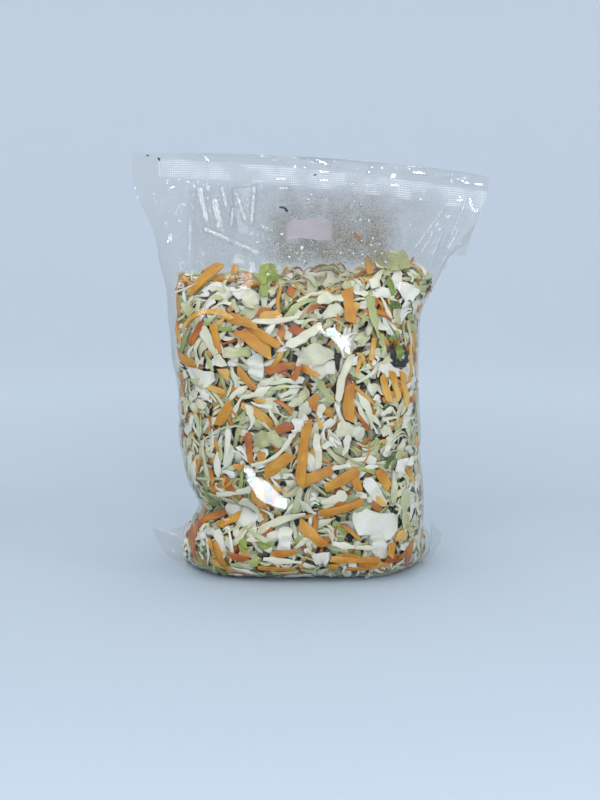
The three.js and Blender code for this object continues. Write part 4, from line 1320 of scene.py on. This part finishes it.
def misted_sheet(grid):
    """The misted cells of the film, just inside it, with the larger droplets as loose points."""
    inside = (grid - grid_normals(grid) * MIST_INSET).reshape(-1, 3)
    mist = film_marks(inside, np.zeros(len(inside), bool))[0][:, 0]
    mist = mist ** 2 * np.interp(inside[:, 2], *DROPLET_SHARE)
    cells = [face for face in grid_faces(*grid.shape[:2]) if mist[face].max() > LEAST_MIST]
    used = sorted({i for face in cells for i in face})
    index = {i: n for n, i in enumerate(used)}
    points = [inside[i] for i in used]
    radii = [0.0] * len(points)
    film_tree = tree_of(inside, grid_faces(*grid.shape[:2]))
    for x, z, radius in BIG_DROPS:
        points.append(np.array(film_tree.ray_cast((x, -RAY_START, z), (0.0, 1.0, 0.0))[0]))
        radii.append(radius * MM)
    obj = mesh_object("misted_sheet", points, [[index[i] for i in face] for face in cells])
    add_layer(obj, "mist", "FLOAT", list(mist[used]) + [0.0] * len(BIG_DROPS))
    add_layer(obj, "bead", "FLOAT", radii)
    return obj


def droplet_tree(material):
    """Geometry Nodes that scatter small beads over the misted film and set the larger ones."""
    tree = bpy.data.node_groups.new("mist_droplets", "GeometryNodeTree")
    face = tree.interface
    face.new_socket("Geometry", in_out="OUTPUT", socket_type="NodeSocketGeometry")
    face.new_socket("Geometry", in_out="INPUT", socket_type="NodeSocketGeometry")
    for name in ("Droplets per square metre", "Smallest radius", "Largest radius"):
        face.new_socket(name, in_out="INPUT", socket_type="NodeSocketFloat")
    face.new_socket("Seed", in_out="INPUT", socket_type="NodeSocketInt")
    given = add_node(tree, "NodeGroupInput").outputs
    mist, bead = (add_node(tree, "GeometryNodeInputNamedAttribute", {"data_type": "FLOAT"},
                           {"Name": name}).outputs[0] for name in ("mist", "bead"))
    density = add_node(tree, "ShaderNodeMath", {"operation": "MULTIPLY"},
                       {0: mist, 1: given["Droplets per square metre"]}).outputs[0]
    spots = add_node(tree, "GeometryNodeDistributePointsOnFaces", {"distribute_method": "RANDOM"},
                     {"Mesh": given["Geometry"], "Density": density, "Seed": given["Seed"]}).outputs["Points"]
    chance = add_node(tree, "FunctionNodeRandomValue", {"data_type": "FLOAT"},
                      {"Seed": given["Seed"]}).outputs[1]
    rare = add_node(tree, "ShaderNodeMath", {"operation": "POWER"}, {0: chance, 1: BEAD_POWER}).outputs[0]
    radius = add_node(tree, "ShaderNodeMapRange", inputs={
        0: rare, 3: given["Smallest radius"], 4: given["Largest radius"]}).outputs[0]
    sized = add_node(tree, "GeometryNodeStoreNamedAttribute", {"data_type": "FLOAT", "domain": "POINT"},
                     {"Geometry": spots, "Name": "bead", "Value": radius}).outputs[0]
    large = add_node(tree, "ShaderNodeMath", {"operation": "GREATER_THAN"}, {0: bead, 1: 0.0}).outputs[0]
    placed = add_node(tree, "GeometryNodeMeshToPoints", inputs={
        "Mesh": given["Geometry"], "Selection": large}).outputs[0]
    every = add_node(tree, "GeometryNodeJoinGeometry")
    tree.links.new(every.inputs[0], sized)
    tree.links.new(every.inputs[0], placed)
    ball = add_node(tree, "GeometryNodeMeshUVSphere", inputs={
        "Segments": BEAD_CELLS[0], "Rings": BEAD_CELLS[1], "Radius": 1.0}).outputs[0]
    beads = add_node(tree, "GeometryNodeInstanceOnPoints", inputs={
        "Points": every.outputs[0], "Instance": ball, "Scale": bead}).outputs[0]
    real = add_node(tree, "GeometryNodeRealizeInstances", inputs={0: beads}).outputs[0]
    smooth = add_node(tree, "GeometryNodeSetShadeSmooth", inputs={"Geometry": real}).outputs[0]
    painted = add_node(tree, "GeometryNodeSetMaterial", inputs={"Geometry": smooth, "Material": material})
    add_node(tree, "NodeGroupOutput", inputs={"Geometry": painted.outputs[0]})
    return tree


def droplets(grid):
    material = bead_material()
    sheet = misted_sheet(grid)
    nodes = sheet.modifiers.new("mist", "NODES")
    nodes.node_group = droplet_tree(material)
    values = {"Droplets per square metre": MIST_DENSITY, "Smallest radius": MIST_RADII[0] * MM,
              "Largest radius": MIST_RADII[1] * MM, "Seed": 3}
    for item in nodes.node_group.interface.items_tree:
        if item.in_out == "INPUT" and item.name in values:
            nodes[item.identifier] = values[item.name]
    obj = bpy.data.objects.new("mist_droplets", applied(sheet))
    bpy.context.scene.collection.objects.link(obj)
    return place_on_bag(obj, material, "film")


# ---- the room -----------------------------------------------------------------------------
def place_camera():
    data = bpy.data.cameras.new("camera")
    camera = bpy.data.objects.new("camera", data)
    bpy.context.scene.collection.objects.link(camera)
    back = to_eye(0.0, CAMERA_RISE)
    camera.location = (Vector(LOOK_AT) + back * CAMERA_DISTANCE) * MM
    camera.rotation_euler = (-back).to_track_quat("-Z", "Y").to_euler()
    data.sensor_fit = "HORIZONTAL"
    data.sensor_width = SENSOR_WIDTH
    data.lens = SENSOR_WIDTH * CAMERA_DISTANCE / PIXEL_SIZE / PIXELS_WIDE
    data.clip_start, data.clip_end = SEEN_FROM, SEEN_TO
    bpy.context.scene.camera = camera


def sweep():
    """A pale painted floor that curves up into a wall all round, so every view has the same ground:
    dull, and lighter away from the bag."""
    around = SWEEP_AROUND
    profile = [(SWEEP_FLAT * 0.5, 0.0)]
    for i in range(SWEEP_STEPS + 1):
        turn = math.pi / 2 * i / SWEEP_STEPS
        profile.append((SWEEP_FLAT + SWEEP_BEND * math.sin(turn), SWEEP_BEND * (1 - math.cos(turn))))
    profile.append((SWEEP_FLAT + SWEEP_BEND, SWEEP_WALL))
    angles = [FULL_TURN * k / around for k in range(around)]
    points = [(r * math.cos(turn), r * math.sin(turn), z) for r, z in profile for turn in angles]
    faces = []
    for i in range(len(profile) - 1):
        for k in range(around):
            low, high, after = i * around, (i + 1) * around, (k + 1) % around
            faces.append([low + k, high + k, high + after, low + after])
    faces.append(list(range(around)))
    obj = mesh_object("sweep", points, faces)
    material, tree = new_material("painted_sweep")
    place = add_node(tree, "ShaderNodeTexCoord").outputs["Object"]
    away = add_node(tree, "ShaderNodeVectorMath", {"operation": "LENGTH"}, {0: place}).outputs["Value"]
    share = add_node(tree, "ShaderNodeMapRange", inputs={0: away, 1: 0.0, 2: SWEEP_FAR}).outputs[0]
    tone = add_node(tree, "ShaderNodeValToRGB", inputs={"Fac": share}, stops=SWEEP_TONES).outputs[0]
    paint = add_node(tree, "ShaderNodeBsdfPrincipled", inputs={"Base Color": tone, "Roughness": 0.8})
    add_node(tree, "ShaderNodeOutputMaterial", inputs={"Surface": paint.outputs[0]})
    obj.data.materials.append(material)


def soft_light(name, place, size, power, colour):
    data = bpy.data.lights.new(name, "AREA")
    data.shape = "RECTANGLE"
    data.size, data.size_y = size[0] * MM, size[1] * MM
    data.energy = power
    data.color = linear(colour)[:3]
    light = bpy.data.objects.new(name, data)
    light.location = place * MM
    light.rotation_euler = ((Vector(LIT_PLACE) - place) * MM).to_track_quat("-Z", "Y").to_euler()
    bpy.context.scene.collection.objects.link(light)


def light_the_room():
    for name, (aim, rise, away, size, power) in LIGHTS.items():
        colour = WINDOW_COLOUR if name == "window" else LAMP_COLOUR
        soft_light(name, Vector(LOOK_AT) + to_eye(aim, rise) * away, size, power, colour)
    world = bpy.data.worlds.new("soft_room")
    bpy.context.scene.world = world
    world.use_nodes = True
    world.node_tree.nodes["Background"].inputs[0].default_value = linear(ROOM_COLOUR)
    world.node_tree.nodes["Background"].inputs[1].default_value = ROOM_STRENGTH
    bpy.context.scene.view_settings.view_transform = "Standard"


# ---- making it ----------------------------------------------------------------------------
place_camera()
surface = bag_surface()
grid = film_grid(surface)
skin = Skin(slaw_block(surface))
gathered = {kind: Cuts(kind) for kind in [*CUTS, "dark_leaf"]}
rng = random.Random(11)
film_tree = tree_of(grid.reshape(-1, 3), grid_faces(*grid.shape[:2]))
lay_front_pieces(gathered, skin, film_tree, rng)
lay_the_rest(gathered, skin, rng)
lay_loose_cuts(gathered, skin, rng)
for kind, cuts in gathered.items():
    place_on_bag(cuts.finished(), cut_material(*FINISHES[kind]), SLOTS.get(kind, "cabbage"))

# A dark core just inside the cuts, so that the gaps between them show painted shade.
core = mesh_object("slaw_core", skin.points - skin.normals * CORE_DEPTH, skin.faces)
points, normals, faces = remeshed(core, CORE_CELL)
core = mesh_object("slaw_core", points, faces)
place_on_bag(core, cut_material(*FINISHES["slaw_core"]), "cabbage")

grid = crinkled(grid)
place_on_bag(film_piece(grid), film_material(), "film")
droplets(grid)
sweep()
light_the_room()
